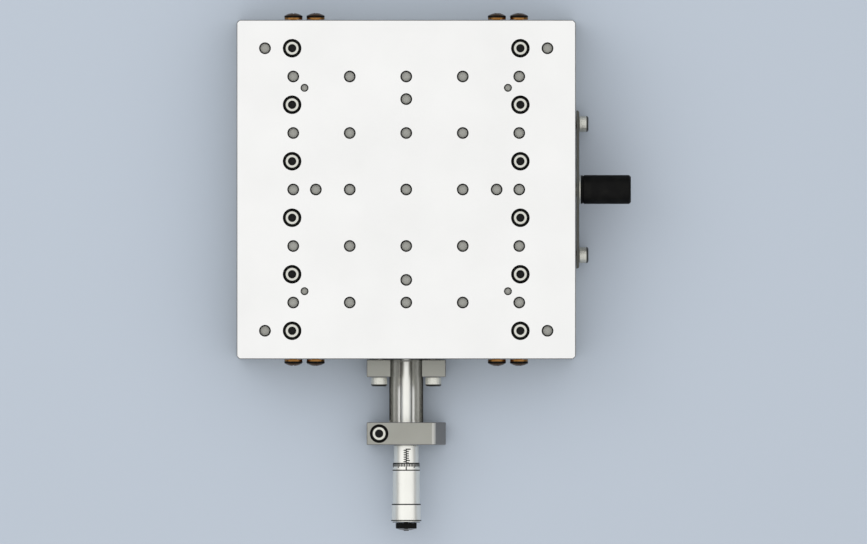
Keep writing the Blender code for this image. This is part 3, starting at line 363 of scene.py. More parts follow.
def turned(profile, steps=ROUND, closed=False):
    """Spins (radius, height) points round Z. An open profile is closed on the axis."""
    bm = bmesh.new()
    points = profile if closed else [(0, profile[0][1]), *profile, (0, profile[-1][1])]
    verts = [bm.verts.new((radius, 0, height)) for radius, height in points]
    edges = [bm.edges.new(pair) for pair in zip(verts, verts[1:])]
    if closed:
        edges.append(bm.edges.new((verts[-1], verts[0])))
    bmesh.ops.spin(
        bm, geom=verts + edges, cent=(0, 0, 0), axis=(0, 0, 1), angle=tau, steps=steps, use_merge=True
    )
    return tidy(bm)


def rod(radius, low, high, steps=SMALL_ROUND):
    return turned([(radius, low), (radius, high)], steps)


def prism(outline, depth):
    """Extrudes an outline in XY along +Z."""
    bm = bmesh.new()
    face = bm.faces.new([bm.verts.new((x, y, 0)) for x, y in outline])
    grown = bmesh.ops.extrude_face_region(bm, geom=[face])["geom"]
    far = [v for v in grown if isinstance(v, bmesh.types.BMVert)]
    bmesh.ops.translate(bm, vec=(0, 0, depth), verts=far)
    return tidy(bm)


def block(low, high):
    bm = bmesh.new()
    size = Vector(high) - Vector(low)
    middle = (Vector(high) + Vector(low)) / 2
    bmesh.ops.create_cube(bm, size=1.0, matrix=Matrix.LocRotScale(middle, None, size))
    return bm


def placed(bm, matrix):
    bmesh.ops.transform(bm, matrix=matrix, verts=bm.verts)
    return bm


def at(bm, x, y, z):
    return placed(bm, shift(x, y, z))


def added(name, data):
    """A new object of the data, in the scene."""
    made = bpy.data.objects.new(name, data)
    bpy.context.scene.collection.objects.link(made)
    return made


def mesh_from(name, bm, paints=()):
    """A painted mesh of the shape, which is used up."""
    mesh = bpy.data.meshes.new(name)
    bm.to_mesh(mesh)
    bm.free()
    for paint in paints:
        mesh.materials.append(paint)
    return mesh


def evaluated(holder):
    """What an object's modifiers or curve make."""
    graph = bpy.context.evaluated_depsgraph_get()
    mesh = bpy.data.meshes.new_from_object(holder.evaluated_get(graph))
    shape = bmesh.new()
    shape.from_mesh(mesh)
    bpy.data.meshes.remove(mesh)
    return shape


def joined(shapes):
    """One bmesh that holds several shapes. The given ones are used up."""
    whole = bmesh.new()
    for shape in shapes:
        mesh = mesh_from("part", shape)
        whole.from_mesh(mesh)
        bpy.data.meshes.remove(mesh)
    return whole


def copied(bm, matrix):
    return placed(bm.copy(), matrix)


def bevelled(bm, edges, width, segments=1, clamped=False):
    return bmesh.ops.bevel(
        bm, geom=edges, offset=width, segments=segments, profile=0.5, affect="EDGES", material=-1,
        clamp_overlap=clamped,
    )["faces"]


def broken_edges(bm, width=EDGE_BREAK, index=0):
    """Breaks every sharp edge. The narrow faces get their own finish."""
    sharp = [edge for edge in bm.edges if edge.calc_face_angle(0) > radians(SHARP_EDGE)]
    for face in bevelled(bm, sharp, width, clamped=True):
        face.material_index = index
    return bm


def upright_corners(bm, width):
    """Chamfers the four upright corners of a plate as large as the stage."""
    edges = []
    for edge in bm.edges:
        first, last = [vert.co for vert in edge.verts]
        upright = (first.xy - last.xy).length < SAME_PLACE
        if upright and abs(abs(first.x) - SIDE) < SAME_PLACE and abs(abs(first.y) + FRONT) < SAME_PLACE:
            edges.append(edge)
    bevelled(bm, edges, width)
    return bm


def marked(bm, index, chosen=lambda face: True):
    """Gives the chosen faces a finish, apart from those that already have one."""
    for face in bm.faces:
        if not face.material_index and chosen(face):
            face.material_index = index
    return bm


def between(low, high, inner=0.0):
    """Chooses faces by their height along Z and by their distance from it."""
    def chosen(face):
        middle = face.calc_center_median()
        return low < middle.z < high and middle.xy.length > inner
    return chosen


def as_object(name, bm):
    return added(name, mesh_from(name, bm, (WHITE, SHADE_BLACK, HOLE_FLOOR, SHADE_GREY, LIT_GREY)))


def combined(body, tools, operation="DIFFERENCE"):
    """Cuts the tools from the body, or joins them on. Faces that a cutter leaves keep its material index."""
    target = as_object("target", body)
    helpers = [as_object("helper", tool) for tool in tools]
    for helper in helpers:
        boolean = target.modifiers.new("combine", "BOOLEAN")
        boolean.operation = operation
        boolean.solver = "EXACT"
        boolean.object = helper
    result = evaluated(target)
    for used in [target, *helpers]:
        bpy.data.objects.remove(used, do_unlink=True)
    bmesh.ops.remove_doubles(result, verts=result.verts, dist=SAME_PLACE)
    return result


def finish(name, bm, paints, body, node=None):
    """Makes the shape a piece of the object: scaled to metres, painted, riding on its body."""
    placed(bm, Matrix.Scale(UNIT, 4))
    mesh = mesh_from(name, bm, paints)
    mesh.shade_smooth()
    mesh.set_sharp_from_angle(angle=radians(SHARP_SHADE))
    made = added(name, mesh)
    if body:
        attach(made, body)
    if node:
        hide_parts(node)
    return made


def mirrored(half):
    return half + [(-x, y) for x, y in reversed(half)]


def arc(radius, start, end, steps):
    angles = [start + (end - start) * step / steps for step in range(steps + 1)]
    return [(radius * cos(angle), radius * sin(angle)) for angle in angles]


def along_stage(outline):
    length = -2 * FRONT
    return placed(prism(outline, length), shift(0, length / 2, 0) @ ALONG_Y)


def screw_places():
    count = int(round(-2 * FRONT / SCREW_PITCH))
    return [(step - (count - 1) / 2) * SCREW_PITCH for step in range(count)]


def tapped_hole_places():
    """Centres of the large tapped holes in the table top."""
    steps = range(-2, 3)
    places = [(column * GRID_PITCH, row * GRID_PITCH) for column in steps for row in steps]
    for sign in (-1, 1):
        places += [(0, sign * CENTRE_HOLES), (sign * CENTRE_HOLES, 0)]
        places += [(sign * CORNER_HOLES, CORNER_HOLES), (sign * CORNER_HOLES, -CORNER_HOLES)]
    return places


def four_corners(offset):
    return [(x * offset, y * offset) for x in (-1, 1) for y in (-1, 1)]


def tap_cutter(radius, depth):
    """A hole with a faced floor and a slightly broken mouth, opening at height 0."""
    profile = [(radius, -depth), (radius, -HOLE_BREAK), (radius + HOLE_BREAK + OVERCUT, OVERCUT)]
    return marked(turned(profile, SMALL_ROUND), 2, lambda face: face.normal.z < -0.9)


def counterbore_cutter(through):
    wide = COUNTERBORE_RADIUS
    return turned([
        (CLEARANCE_RADIUS, -through), (CLEARANCE_RADIUS, -COUNTERBORE_DEPTH), (wide, -COUNTERBORE_DEPTH),
        (wide, -HOLE_BREAK), (wide + HOLE_BREAK + OVERCUT, OVERCUT),
    ], ROUND)


def hexagon(across, depth):
    """The shape of a hexagon key, from its width across the flats."""
    return prism(arc(across / sqrt(3), 0, tau * 5 / 6, 5), depth)


def spring_post(low, high):
    """A post with a groove for the spring's hook."""
    groove = 0.25
    return turned([
        (POST_RADIUS, low),
        (POST_RADIUS, SPRING_Z - 2 * groove),
        (POST_RADIUS - groove, SPRING_Z - groove),
        (POST_RADIUS - groove, SPRING_Z + groove),
        (POST_RADIUS, SPRING_Z + 2 * groove),
        (POST_RADIUS, high),
    ], SMALL_ROUND)


def spring_posts(low, high, y):
    """The posts of both springs at one of their ends."""
    posts = [at(spring_post(low, high), side * SPRING_X, y, 0) for side in (-1, 1)]
    # The posts get the near-black painted shade of the hole insides.
    return marked(joined(posts), 1)


def table_holes(seat, skirt):
    """The table's tapped and counterbored holes, its preload screw holes and the lock stud's hole."""
    cutters = [at(tap_cutter(TAP_RADIUS, TAP_DEPTH), x, y, TOP) for x, y in tapped_hole_places()]
    cutters += [at(tap_cutter(SMALL_TAP_RADIUS, SMALL_TAP_DEPTH), x, y, TOP)
                for x, y in four_corners(SMALL_TAP_OFFSET)]
    for side in (-1, 1):
        cutters += [at(counterbore_cutter(TOP - seat + OVERCUT), side * (PAIR_X + SCREW_LINE), y, TOP)
                    for y in screw_places()]
    for y in screw_places():
        place = shift(-SIDE, y, RAIL_Z) @ AGAINST_X
        cutters.append(placed(tap_cutter(SCREW_HOLE_RADIUS, SIDE - skirt + OVERCUT), place))
    cutters.append(placed(tap_cutter(LOCK_HOLE_RADIUS, LOCK_HOLE_DEPTH), LOCK))
    # The insides of the holes are painted near-black as shade.
    return marked(joined(cutters), 1)


def table_plate():
    near = PAIR_X + RAIL_NEAR / 2
    skirt = PAIR_X + RAIL_FAR + SEAT_GAP
    seat = RAIL_TOP + SEAT_GAP
    underside = seat + UNDERSIDE_RELIEF
    body = along_stage(mirrored([
        (near, underside), (near, seat), (skirt, seat), (skirt, TABLE_LOW.z), (SIDE, TABLE_LOW.z), (SIDE, TOP)
    ]))
    upright_corners(body, CORNER)
    broken_edges(body)
    # The upward-facing chamfers get the darker grey of painted shade.
    marked(body, 3, lambda face: 0.1 < face.normal.z < 0.9)
    body = combined(body, [table_holes(seat, skirt)])
    posts = spring_posts(SPRING_Z - POST_REACH, underside + OVERCUT, SPRING_BACK)
    body = combined(body, [posts], "UNION")
    finish("table_plate", body, [WHITE, SHADE_BLACK, HOLE_FLOOR, SHADE_GREY], "table", "table_top")
    threads = [at(thread_ridges(TAP_RADIUS, TAP_DEPTH, TAP_PITCH), x, y, TOP)
               for x, y in tapped_hole_places()]
    threads += [at(thread_ridges(SMALL_TAP_RADIUS, SMALL_TAP_DEPTH, SMALL_TAP_PITCH), x, y, TOP)
                for x, y in four_corners(SMALL_TAP_OFFSET)]
    # The thread ridges are painted near-black as shade.
    finish("table_hole_threads", joined(threads), [SHADE_BLACK], "table")


def thread_ridges(radius, depth, pitch):
    """The ridges of a tapped hole, as a thin liner that lies in the hole."""
    outer = radius - 0.01
    root = radius - 0.03
    crest = radius - 0.46 * pitch
    margin = 0.5
    ridges = int((depth - 2 * margin) / pitch)
    low = -margin - ridges * pitch
    profile = [(outer, low)]
    for ridge in range(ridges):
        height = low + ridge * pitch
        profile += [
            (root, height + 0.05 * pitch), (crest, height + 0.45 * pitch), (crest, height + 0.55 * pitch)
        ]
    profile += [(root, -margin), (outer, -margin)]
    return turned(profile, ROUGH_ROUND, closed=True)


def base_grooves():
    """The contact block's pocket and the two spring grooves."""
    roof = RAIL_TOP + OVERCUT
    grooves = [block((-POCKET_HALF, FRONT - OVERCUT, POCKET_FLOOR), (POCKET_HALF, POCKET_BACK, roof))]
    for x in (-SPRING_X, SPRING_X):
        low = (x - GROOVE_HALF, GROOVE_FRONT, BASE_FLANGE)
        grooves.append(block(low, (x + GROOVE_HALF, GROOVE_BACK, roof)))
    return joined(grooves)


def base_holes(seat):
    """The base's counterbored holes below, its screw holes in front and at the side, its tapped corners."""
    bracket_hole = 9
    lock_hole = 8
    cutters = []
    for side in (-1, 1):
        for y in screw_places():
            place = shift(side * (PAIR_X - SCREW_LINE), y, 0) @ UPSIDE_DOWN
            cutters.append(placed(counterbore_cutter(seat + OVERCUT), place))
        place = shift(side * BRACKET_SCREW_X, FRONT, AXIS_Z + BRACKET_SCREW_RISE) @ ALONG_Y
        cutters.append(placed(rod(SCREW_HOLE_RADIUS, -bracket_hole, OVERCUT), place))
        place = shift(SIDE, side * LOCK_SCREW_Y, BASE_FLANGE / 2) @ ALONG_X
        cutters.append(placed(rod(SCREW_HOLE_RADIUS, -lock_hole, OVERCUT), place))
    for x, y in four_corners(CORNER_HOLES):
        cutters.append(placed(tap_cutter(TAP_RADIUS, TAP_DEPTH), shift(x, y, 0) @ UPSIDE_DOWN))
    # The insides of the holes are painted near-black as shade.
    return marked(joined(cutters), 1)


def base_body():
    ledge = PAIR_X - RAIL_NEAR / 2
    island = INNER_RAIL_LOW.x - SEAT_GAP
    seat = RAIL_BOTTOM - SEAT_GAP
    body = along_stage(mirrored([
        (SIDE, 0), (SIDE, BASE_FLANGE), (ledge, BASE_FLANGE), (ledge, seat), (island, seat),
        (island, RAIL_TOP),
    ]))
    upright_corners(body, CORNER)
    broken_edges(body)
    body = combined(body, [base_grooves(), base_holes(seat)])
    posts = spring_posts(BASE_FLANGE - OVERCUT, SPRING_Z + POST_REACH, SPRING_FRONT)
    body = combined(body, [posts], "UNION")
    finish("base_body", body, [GREY, SHADE_BLACK, HOLE_FLOOR], "base", "base")
    threads = [
        placed(thread_ridges(TAP_RADIUS, TAP_DEPTH, TAP_PITCH), shift(x, y, 0) @ UPSIDE_DOWN)
        for x, y in four_corners(CORNER_HOLES)
    ]
    # The thread ridges are painted near-black as shade.
    finish("base_hole_threads", joined(threads), [SHADE_BLACK], "base")


def rail(outward):
    """One V rail round its pair's centre: broken edges, a V with a relief slot, holes for its screws."""
    groove = ROLLER_RADIUS * sqrt(2)
    relief = 0.3
    mouth = groove - RAIL_NEAR
    half = RAIL_HEIGHT / 2
    end_hole_radius = 1.65
    end_hole_depth = 8.0
    outline = [
        (RAIL_NEAR, -half), (RAIL_FAR, -half), (RAIL_FAR, half), (RAIL_NEAR, half), (RAIL_NEAR, mouth),
        (groove - relief, relief), (groove + relief, relief), (groove + relief, -relief),
        (groove - relief, -relief), (RAIL_NEAR, -mouth),
    ]
    body = broken_edges(along_stage([(outward * x, z) for x, z in outline]), 0.2)
    holes = []
    for end in (-1, 1):
        place = shift(outward * END_SCREW_LINE, -end * FRONT, 0)
        hole = rod(end_hole_radius, -OVERCUT, end_hole_depth)
        holes.append(placed(hole, place @ spun(end * pi / 2, "X")))
    for y in screw_places():
        hole = rod(SCREW_HOLE_RADIUS, -half - OVERCUT, half + OVERCUT)
        holes.append(at(hole, outward * SCREW_LINE, y, 0))
    return combined(body, [joined(holes)])


SCREW_PAINTS = [STAINLESS, SOCKET, DARK_STEEL_AND_SHADE]
PAN_PAINTS = [BRONZE, BLACK, SHADED_BRONZE]


def cap_screw(kind):
    """A socket-head cap screw that seats at height 0: knurled head, an end band painted dark as shade,
    hexagon socket painted near-black as shade.
    """
    shank = kind["thread"] / 2
    rim = kind["head"] / 2
    height = kind["height"]
    length = kind["length"]
    chamfer = 0.5
    bevel_width = 0.7
    flutes = 36
    flute_depth = 0.09
    mouth = kind["socket"] * 0.62
    body = turned([
        (shank - 0.3, -length), (shank, -length + 0.4), (shank, 0), (rim - 0.15, 0), (rim, 0.15),
        (rim, height - HEAD_SHADE_BAND), (rim, height - chamfer), (rim - bevel_width, height), (mouth, height),
        (mouth - 0.25, height - 0.25),
    ], 2 * flutes)
    # Painted shade: the head's top chamfer and end band go dark, the socket's mouth near-black.
    marked(body, 2, between(height - HEAD_SHADE_BAND, height - SAME_PLACE, rim - bevel_width))
    marked(body, 1, between(height / 2, height - SAME_PLACE))
    fluted(body, rim, flutes, flute_depth)
    return combined(body, [marked(at(hexagon(kind["socket"], height), 0, 0, height / 2), 1)])


def fluted(bm, rim, flutes, depth, row_of=lambda height: 0):
    """Pulls in every second column of a rim's points, or every second point of rows."""
    for vert in bm.verts:
        if vert.co.xy.length > rim - 0.01:
            column = round(Vector((1, 0)).angle_signed(vert.co.xy) / (pi / flutes))
            if (column + row_of(vert.co.z)) % 2:
                vert.co.xy *= 1 - depth / rim


def fasten(node, screw, body):
    """Finishes a cap screw that stands for a node."""
    finish("fine_" + node, screw, SCREW_PAINTS, body, node)


def rail_screws(m4, side, label):
    """The screws that hold the table's rail from above and the base's rail from below."""
    for number, y in enumerate(screw_places(), 1):
        turn = spun(radians(17 * number + 9 * side), "Z")
        place = shift(side * (PAIR_X + SCREW_LINE), y, TOP - COUNTERBORE_DEPTH + SCREW_LIFT)
        fasten("table_rail_screw_" + label + "_" + str(number), copied(m4, place @ turn), "table")
        place = shift(side * (PAIR_X - SCREW_LINE), y, COUNTERBORE_DEPTH - SEAT_GAP) @ UPSIDE_DOWN
        name = "base_rail_screw_" + label + "_" + str(number)
        shape = copied(m4, place @ turn)
        finish(name, shape, SCREW_PAINTS, "base", "base_rail_" + label)


def cap_screws():
    """Every cap screw of the construction, each as its own piece."""
    m4 = cap_screw(M4)
    m3 = cap_screw(M3)
    for side, label in SIDES:
        rail_screws(m4, side, label)
        place = MICROMETER @ shift(side * BRACKET_SCREW_X, BRACKET_SCREW_RISE, FLANGE + SCREW_LIFT)
        fasten("bracket_screw_" + label, copied(m4, place), "base")
    for end, label in ENDS:
        node = "lock_plate_screw_" + label
        low = extent(node)[0]
        seat = extent("lock_plate")[1].x + SCREW_LIFT
        place = shift(seat, end * LOCK_SCREW_Y, BASE_FLANGE / 2) @ ALONG_X
        fasten(node, trimmed_screw(m4, seat - low.x, place), "base")
    low, high = extent("clamp_screw")
    middle = (low + high) / 2
    place = shift(middle.x, middle.y, high.z - M4["height"])
    fasten("clamp_screw", copied(m4, place), "base")
    for number in (1, 2):
        node = "contact_block_screw_" + str(number)
        low, high = extent(node)
        middle = (low + high) / 2
        place = shift(middle.x, middle.y, low.z + M3["height"]) @ UPSIDE_DOWN
        fasten(node, copied(m3, place), "table")
    m4.free()
    m3.free()


def trimmed_screw(screw, length, place):
    """A copy with a shorter shank."""
    short = screw.copy()
    lowest = min(vert.co.z for vert in short.verts)
    for vert in short.verts:
        if vert.co.z < -0.01:
            vert.co.z -= lowest + length
    return placed(short, place)


def pan_screw():
    """A pan-head screw: bright rim, then a black seam, a darker dome and a cross recess painted as shade."""
    shank = M3["thread"] / 2
    rim_top = 0.95
    seam_top = 1.85
    dome_radius = PAN_RADIUS - 0.15
    rise = PAN_HEIGHT - seam_top
    ball = (dome_radius ** 2 + rise ** 2) / (2 * rise)
    radii = [dome_radius * step / 7 for step in range(7, 0, -1)]
    dome = [(radius, PAN_HEIGHT - ball + sqrt(ball ** 2 - radius ** 2)) for radius in radii]
    body = turned([
        (shank - 0.2, -END_SCREW_LENGTH), (shank, -END_SCREW_LENGTH + 0.3), (shank, 0),
        (PAN_RADIUS - 0.1, 0), (PAN_RADIUS, 0.1), (PAN_RADIUS, rim_top), (PAN_RADIUS, seam_top - 0.15), *dome,
    ], ROUND)
    # Painted shade: a black seam above the rim, and a darker bronze on the dome.
    marked(body, 1, between(rim_top, seam_top))
    marked(body, 2, between(seam_top, PAN_HEIGHT))
    arm = 0.42
    reach = 2.1
    tip = 0.7
    depth = 1.9
    outline = [(-reach, 0), (-tip, -depth), (tip, -depth), (reach, 0), (reach, 1), (-reach, 1)]
    cutters = []
    for turn in (0, pi / 2):
        place = spun(turn, "Z") @ shift(0, arm, PAN_HEIGHT - 0.2) @ ALONG_Y
        # The recess's sides get the darker bronze of painted shade.
        cutters.append(marked(placed(prism(outline, 2 * arm), place), 2))
    return combined(body, cutters)


def end_screws():
    screw = pan_screw()
    for owner, offset in (("table", END_SCREW_LINE), ("base", -END_SCREW_LINE)):
        for side, side_label in SIDES:
            for end, end_label in ENDS:
                node = owner + "_end_screw_" + end_label + "_" + side_label
                place = shift(side * (PAIR_X + offset), end * (-FRONT + SCREW_LIFT), RAIL_Z)
                turn = spun(radians(30 + 40 * side + offset), "Z")
                place @= spun(-end * pi / 2, "X") @ turn
                finish("fine_" + node, copied(screw, place), PAN_PAINTS, owner, node)
    screw.free()


def set_screws():
    """The preload screws in the left skirt, seen as hexagon sockets deep in their holes."""
    length = 12.0
    radius = M4["thread"] / 2
    socket = 2.0
    depth = 2.0
    skirt = PAIR_X + RAIL_FAR + SEAT_GAP
    profile = [(radius - 0.8, 0), (radius, 0.6), (radius, length - 0.4), (radius - 0.4, length)]
    recess = at(hexagon(socket, depth + OVERCUT), 0, 0, length - depth)
    # The hexagon recess is painted near-black as shade.
    screw = combined(turned(profile, SMALL_ROUND), [marked(recess, 1)])
    for number, y in enumerate(screw_places(), 1):
        node = "preload_screw_" + str(number)
        place = shift(-skirt, y, RAIL_Z) @ AGAINST_X
        shape = copied(screw, place @ spun(radians(23 * number), "Z"))
        finish("fine_" + node, shape, [DARK_STEEL_AND_SHADE, SOCKET], "table", node)
    screw.free()


def guideways():
    for side, label in SIDES:
        place = shift(side * PAIR_X, 0, RAIL_Z)
        outer = placed(rail(side), place)
        finish("outer_rail_" + label, outer, [GROUND], "table", "table_rail_" + label)
        inner = placed(rail(-side), place)
        finish("inner_rail_" + label, inner, [GROUND], "base", "base_rail_" + label)
        roller_cage(label, place)


def roller_cage(label, place):
    """A thin strip with windows, and in them rollers that lean to one side and the other in turn."""
    node = "roller_cage_" + label
    low, high = extent(node)
    count = int((high.y - low.y) / ROLLER_PITCH + 0.01)
    places = [(step - (count - 1) / 2) * ROLLER_PITCH for step in range(count)]
    thin = 0.3
    half = 3.3
    window = 1.6
    strip = block((-thin, low.y, -half), (thin, high.y, half))
    windows = [block((-1, y - window, -window), (1, y + window, window)) for y in places]
    strip = combined(strip, [joined(windows)])
    finish("cage_strip_" + label, placed(strip, place), [BRONZE], label + "_cage", node)
    rim = ROLLER_RADIUS - 0.05
    end = 1.4
    profile = [(rim - 0.2, -end), (rim, 0.2 - end), (rim, end - 0.2), (rim - 0.2, end)]
    rollers = []
    for step, y in enumerate(places):
        roller = turned(profile, ROUGH_ROUND)
        tilt = spun(radians(45 if step % 2 else -45), "Y")
        rollers.append(placed(roller, place @ shift(0, y, 0) @ tilt))
    finish("rollers_" + label, joined(rollers), [GROUND], label + "_cage", node)


def spring_points():
    """A hook round the front post, the close coil, and a hook round the back post."""
    length = SPRING_BACK - SPRING_FRONT
    hook = POST_RADIUS + 0.65
    coil = 2.15
    lead = 4.0
    wraps = 26
    steps = 14
    turns = [radians(d) for d in range(-135, 121, 15)]
    points = [(hook * sin(t), -hook * cos(t), 0) for t in turns]
    for step in range(wraps * steps + 1):
        angle = tau * step / steps
        y = lead + (length - 2 * lead) * step / (wraps * steps)
        points.append((coil * cos(angle), y, coil * sin(angle)))
    points += [(hook * sin(t), length + hook * cos(t), 0) for t in reversed(turns)]
    return points


def springs():
    for side, label in SIDES:
        curve = bpy.data.curves.new("spring", "CURVE")
        curve.dimensions = "3D"
        curve.bevel_depth = 0.35
        curve.bevel_resolution = 2
        curve.use_fill_caps = True
        points = spring_points()
        spline = curve.splines.new("POLY")
        spline.points.add(len(points) - 1)
        for target, point in zip(spline.points, points):
            target.co = (*point, 1)
        holder = added("holder", curve)
        shape = at(tidy(evaluated(holder)), side * SPRING_X, SPRING_FRONT, SPRING_Z)
        bpy.data.objects.remove(holder, do_unlink=True)
        bpy.data.curves.remove(curve)
        name = "return_spring_" + label
        made = finish("fine_" + name, shape, [WIRE], None, name)
        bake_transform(made)


def contact():
    """The block under the table that carries the hardened pin."""
    low, high = extent("contact_block")
    half = (high.x - low.x) / 2
    top = high.z - AXIS_Z
    lug_length = 8.0
    foot_height = 5.0
    pin_hole = 3.1
    pin_depth = 6.1
    screw_hole = 1.8
    lug = prism([(half, top), *arc(half, 0, -pi, ROUND // 2), (-half, top)], lug_length)
    lug = placed(lug, shift(0, low.y + lug_length, AXIS_Z) @ ALONG_Y)
    foot = block((-half, low.y + lug_length - 1, high.z - foot_height), (half, high.y, high.z))
    body = combined(broken_edges(lug, 0.2), [broken_edges(foot, 0.2)], "UNION")
    place = shift(0, low.y, AXIS_Z) @ ALONG_Y
    cutters = [placed(rod(pin_hole, -pin_depth, OVERCUT), place)]
    for number in (1, 2):
        first, last = extent("contact_block_screw_" + str(number))
        hole = rod(screw_hole, high.z - foot_height - OVERCUT, high.z + OVERCUT)
        cutters.append(at(hole, 0, (first.y + last.y) / 2, 0))
    # The insides of the pin and screw holes are painted near-black as shade.
    body = combined(body, [marked(joined(cutters), 1)])
    finish("contact_lug", body, [GREY, SHADE_BLACK], "table", "contact_block")
    low, high = extent("contact_pin")
    length = high.y - low.y
    radius = 3.0
    pin = turned([(radius - 0.2, 0), (radius, 0.2), (radius, length - 0.3), (radius - 0.3, length)])
    place = shift(0, high.y, AXIS_Z) @ ALONG_Y
    finish("hardened_pin", placed(pin, place), [GROUND], "table", "contact_pin")


def clamp_block():
    """The split clamp's block, with its rounded shoulder painted light and its slanted flank painted shade.
    """
    fillet = FLANK_X - SHOULDER_X
    round_shoulder = [
        (SHOULDER_X + fillet * sin(t), CLAMP_RISE - fillet * (1 - cos(t)))
        for t in [radians(d) for d in (68, 51, 34, 17, 0)]
    ]
    clamp = prism([
        (-BRACKET_HALF, BRACKET_BOTTOM), (BRACKET_HALF, BRACKET_BOTTOM), (BRACKET_HALF, FLANK_FOOT),
        *round_shoulder, (-BRACKET_HALF, CLAMP_RISE),
    ], CLAMP_END - CLAMP_START)
    # Painted shade: the chamfers and the slanted flank get the darker grey. Painted light: the rounded
    # shoulder gets the lighter grey.
    broken_edges(at(clamp, 0, 0, CLAMP_START), EDGE_BREAK, 2)
    marked(clamp, 2, lambda face: face.normal.x > 0.9 and face.normal.y > 0.3)
    return marked(clamp, 4, lambda face: face.normal.x > 0.1 and face.normal.y > 0.5)


def clamp_cutters():
    """The clamp's bore, its slit and the counterbored hole of its screw."""
    bore_radius = 5.15
    slit_end = -2.5
    screw_hole_depth = 16.8
    bore = rod(bore_radius, CLAMP_START - OVERCUT, CLAMP_END + OVERCUT, ROUND)
    slit = block(
        (-BRACKET_HALF - OVERCUT, -CLAMP_SLIT / 2, CLAMP_START - OVERCUT),
        (slit_end, CLAMP_SLIT / 2, CLAMP_END + OVERCUT),
    )
    low, high = extent("clamp_screw")
    middle = (low + high) / 2
    place = shift(middle.x, CLAMP_RISE, FRONT - middle.y) @ spun(-pi / 2, "X")
    # The screw's counterbore is painted near-black as shade.
    return [bore, slit, marked(placed(counterbore_cutter(screw_hole_depth), place), 3)]


def bracket():
    """Flange, half-round arm and split clamp, with the trough, bore, slit and screw holes."""
    flange = prism([
        (-BRACKET_HALF, BRACKET_BOTTOM), (BRACKET_HALF, BRACKET_BOTTOM),
        (BRACKET_HALF, FLANGE_RISE), (-BRACKET_HALF, FLANGE_RISE),
    ], FLANGE - SEAT_GAP)
    # The flange's chamfers get the darker grey of painted shade.
    broken_edges(at(flange, 0, 0, SEAT_GAP), EDGE_BREAK, 2)
    arm_bottom = BRACKET_BOTTOM + 0.5
    arm_length = 28
    arm = prism([
        (-ARM_HALF, arm_bottom), (ARM_HALF, arm_bottom), (ARM_HALF, 0), (-ARM_HALF, 0)
    ], arm_length)
    at(arm, 0, 0, FLANGE / 2)
    # The arm's narrow top faces get the near-black of painted shade.
    marked(arm, 3, lambda face: face.normal.y > 0.9)
    body = combined(flange, [arm, clamp_block()], "UNION")
    over = CLAMP_RISE + OVERCUT
    trough = [(TROUGH_RADIUS, over), *arc(TROUGH_RADIUS, 0, -pi, ROUND), (-TROUGH_RADIUS, over)]
    cutters = [at(prism(trough, CLAMP_START + OVERCUT), 0, 0, -OVERCUT)]
    for side in (-1, 1):
        hole = rod(CLEARANCE_RADIUS, -OVERCUT, FLANGE + OVERCUT)
        cutters.append(at(hole, side * BRACKET_SCREW_X, BRACKET_SCREW_RISE, 0))
    # The trough and the screw holes get the trough's painted light and shade.
    body = combined(body, [marked(joined(cutters), 1)])
    body = combined(body, clamp_cutters())
    finish("bracket_body", placed(body, MICROMETER), [GREY, SHADED_TROUGH, SHADE_GREY, SHADE_BLACK, LIT_GREY],
           "base", "micrometer_bracket")


def along(node):
    """Where a node starts and ends along the micrometer axis, from the front face of the base."""
    low, high = extent(node)
    return FRONT - high.y, FRONT - low.y


def stroke(radius, angle, start, end, tilt=0.0):
    """A thin inked stroke on a turned surface, at an angle from the top, from start to end along the axis."""
    thick = 0.05
    corner = Vector((SCALE_LINE / 2, thick / 2, (end - start) / 2))
    bm = block(-corner, corner)
    placed(bm, spun(tilt, "X"))
    at(bm, 0, radius, (start + end) / 2)
    return placed(bm, spun(angle, "Z"))


def ring_line(radius, start, end):
    """A black ring of painted shade right round a turned surface."""
    return turned([
        (radius - 0.02, start), (radius + 0.012, start), (radius + 0.012, end), (radius - 0.02, end)
    ], FINE_ROUND, closed=True)


def micrometer_head():
    """The parts of the head that stay still: barrel, sleeve with its scale, adjusting nut."""
    stem_start, stem_end = along("micrometer_barrel")
    sleeve_start, sleeve_end = along("scale_sleeve")
    guide_end = 44.5
    guide_bore = 2.8
    tail_bore = 3.3
    seat_start = sleeve_start - SEAT_GAP
    seat_end = sleeve_end + SEAT_GAP
    barrel = turned([
        (guide_bore, stem_start + 0.2), (3.0, stem_start), (4.8, stem_start), (5.0, stem_start + 0.2),
        (5.0, seat_start), (4.65, seat_start), (4.65, seat_end), (4.15, seat_end), (4.15, stem_end),
        (tail_bore, stem_end), (tail_bore, guide_end), (guide_bore, guide_end),
    ], ROUND, closed=True)
    finish("barrel", placed(barrel, MICROMETER), [CHROME], "base", "micrometer_barrel")
    sleeve = turned([
        (4.8, sleeve_start), (SLEEVE_RADIUS - 0.15, sleeve_start), (SLEEVE_RADIUS, sleeve_start + 0.15),
        (SLEEVE_RADIUS, sleeve_end - 0.1), (SLEEVE_RADIUS - 0.1, sleeve_end), (4.8, sleeve_end),
    ], FINE_ROUND, closed=True)
    finish("sleeve", placed(sleeve, MICROMETER), [CHROME], "base", "scale_sleeve")
    finish("sleeve_scale", placed(sleeve_scale(sleeve_start), MICROMETER), [INK_AND_SHADE], "base")
    start, end = along("adjusting_nut")
    nut = turned([
        (4.3, start), (5.1, start), (5.3, start + 0.2), (5.3, end - 0.2), (5.1, end), (4.3, end)
    ], ROUND, closed=True)
    finish("adjuster", placed(nut, MICROMETER), [DARK_STEEL_AND_SHADE], "base", "adjusting_nut")


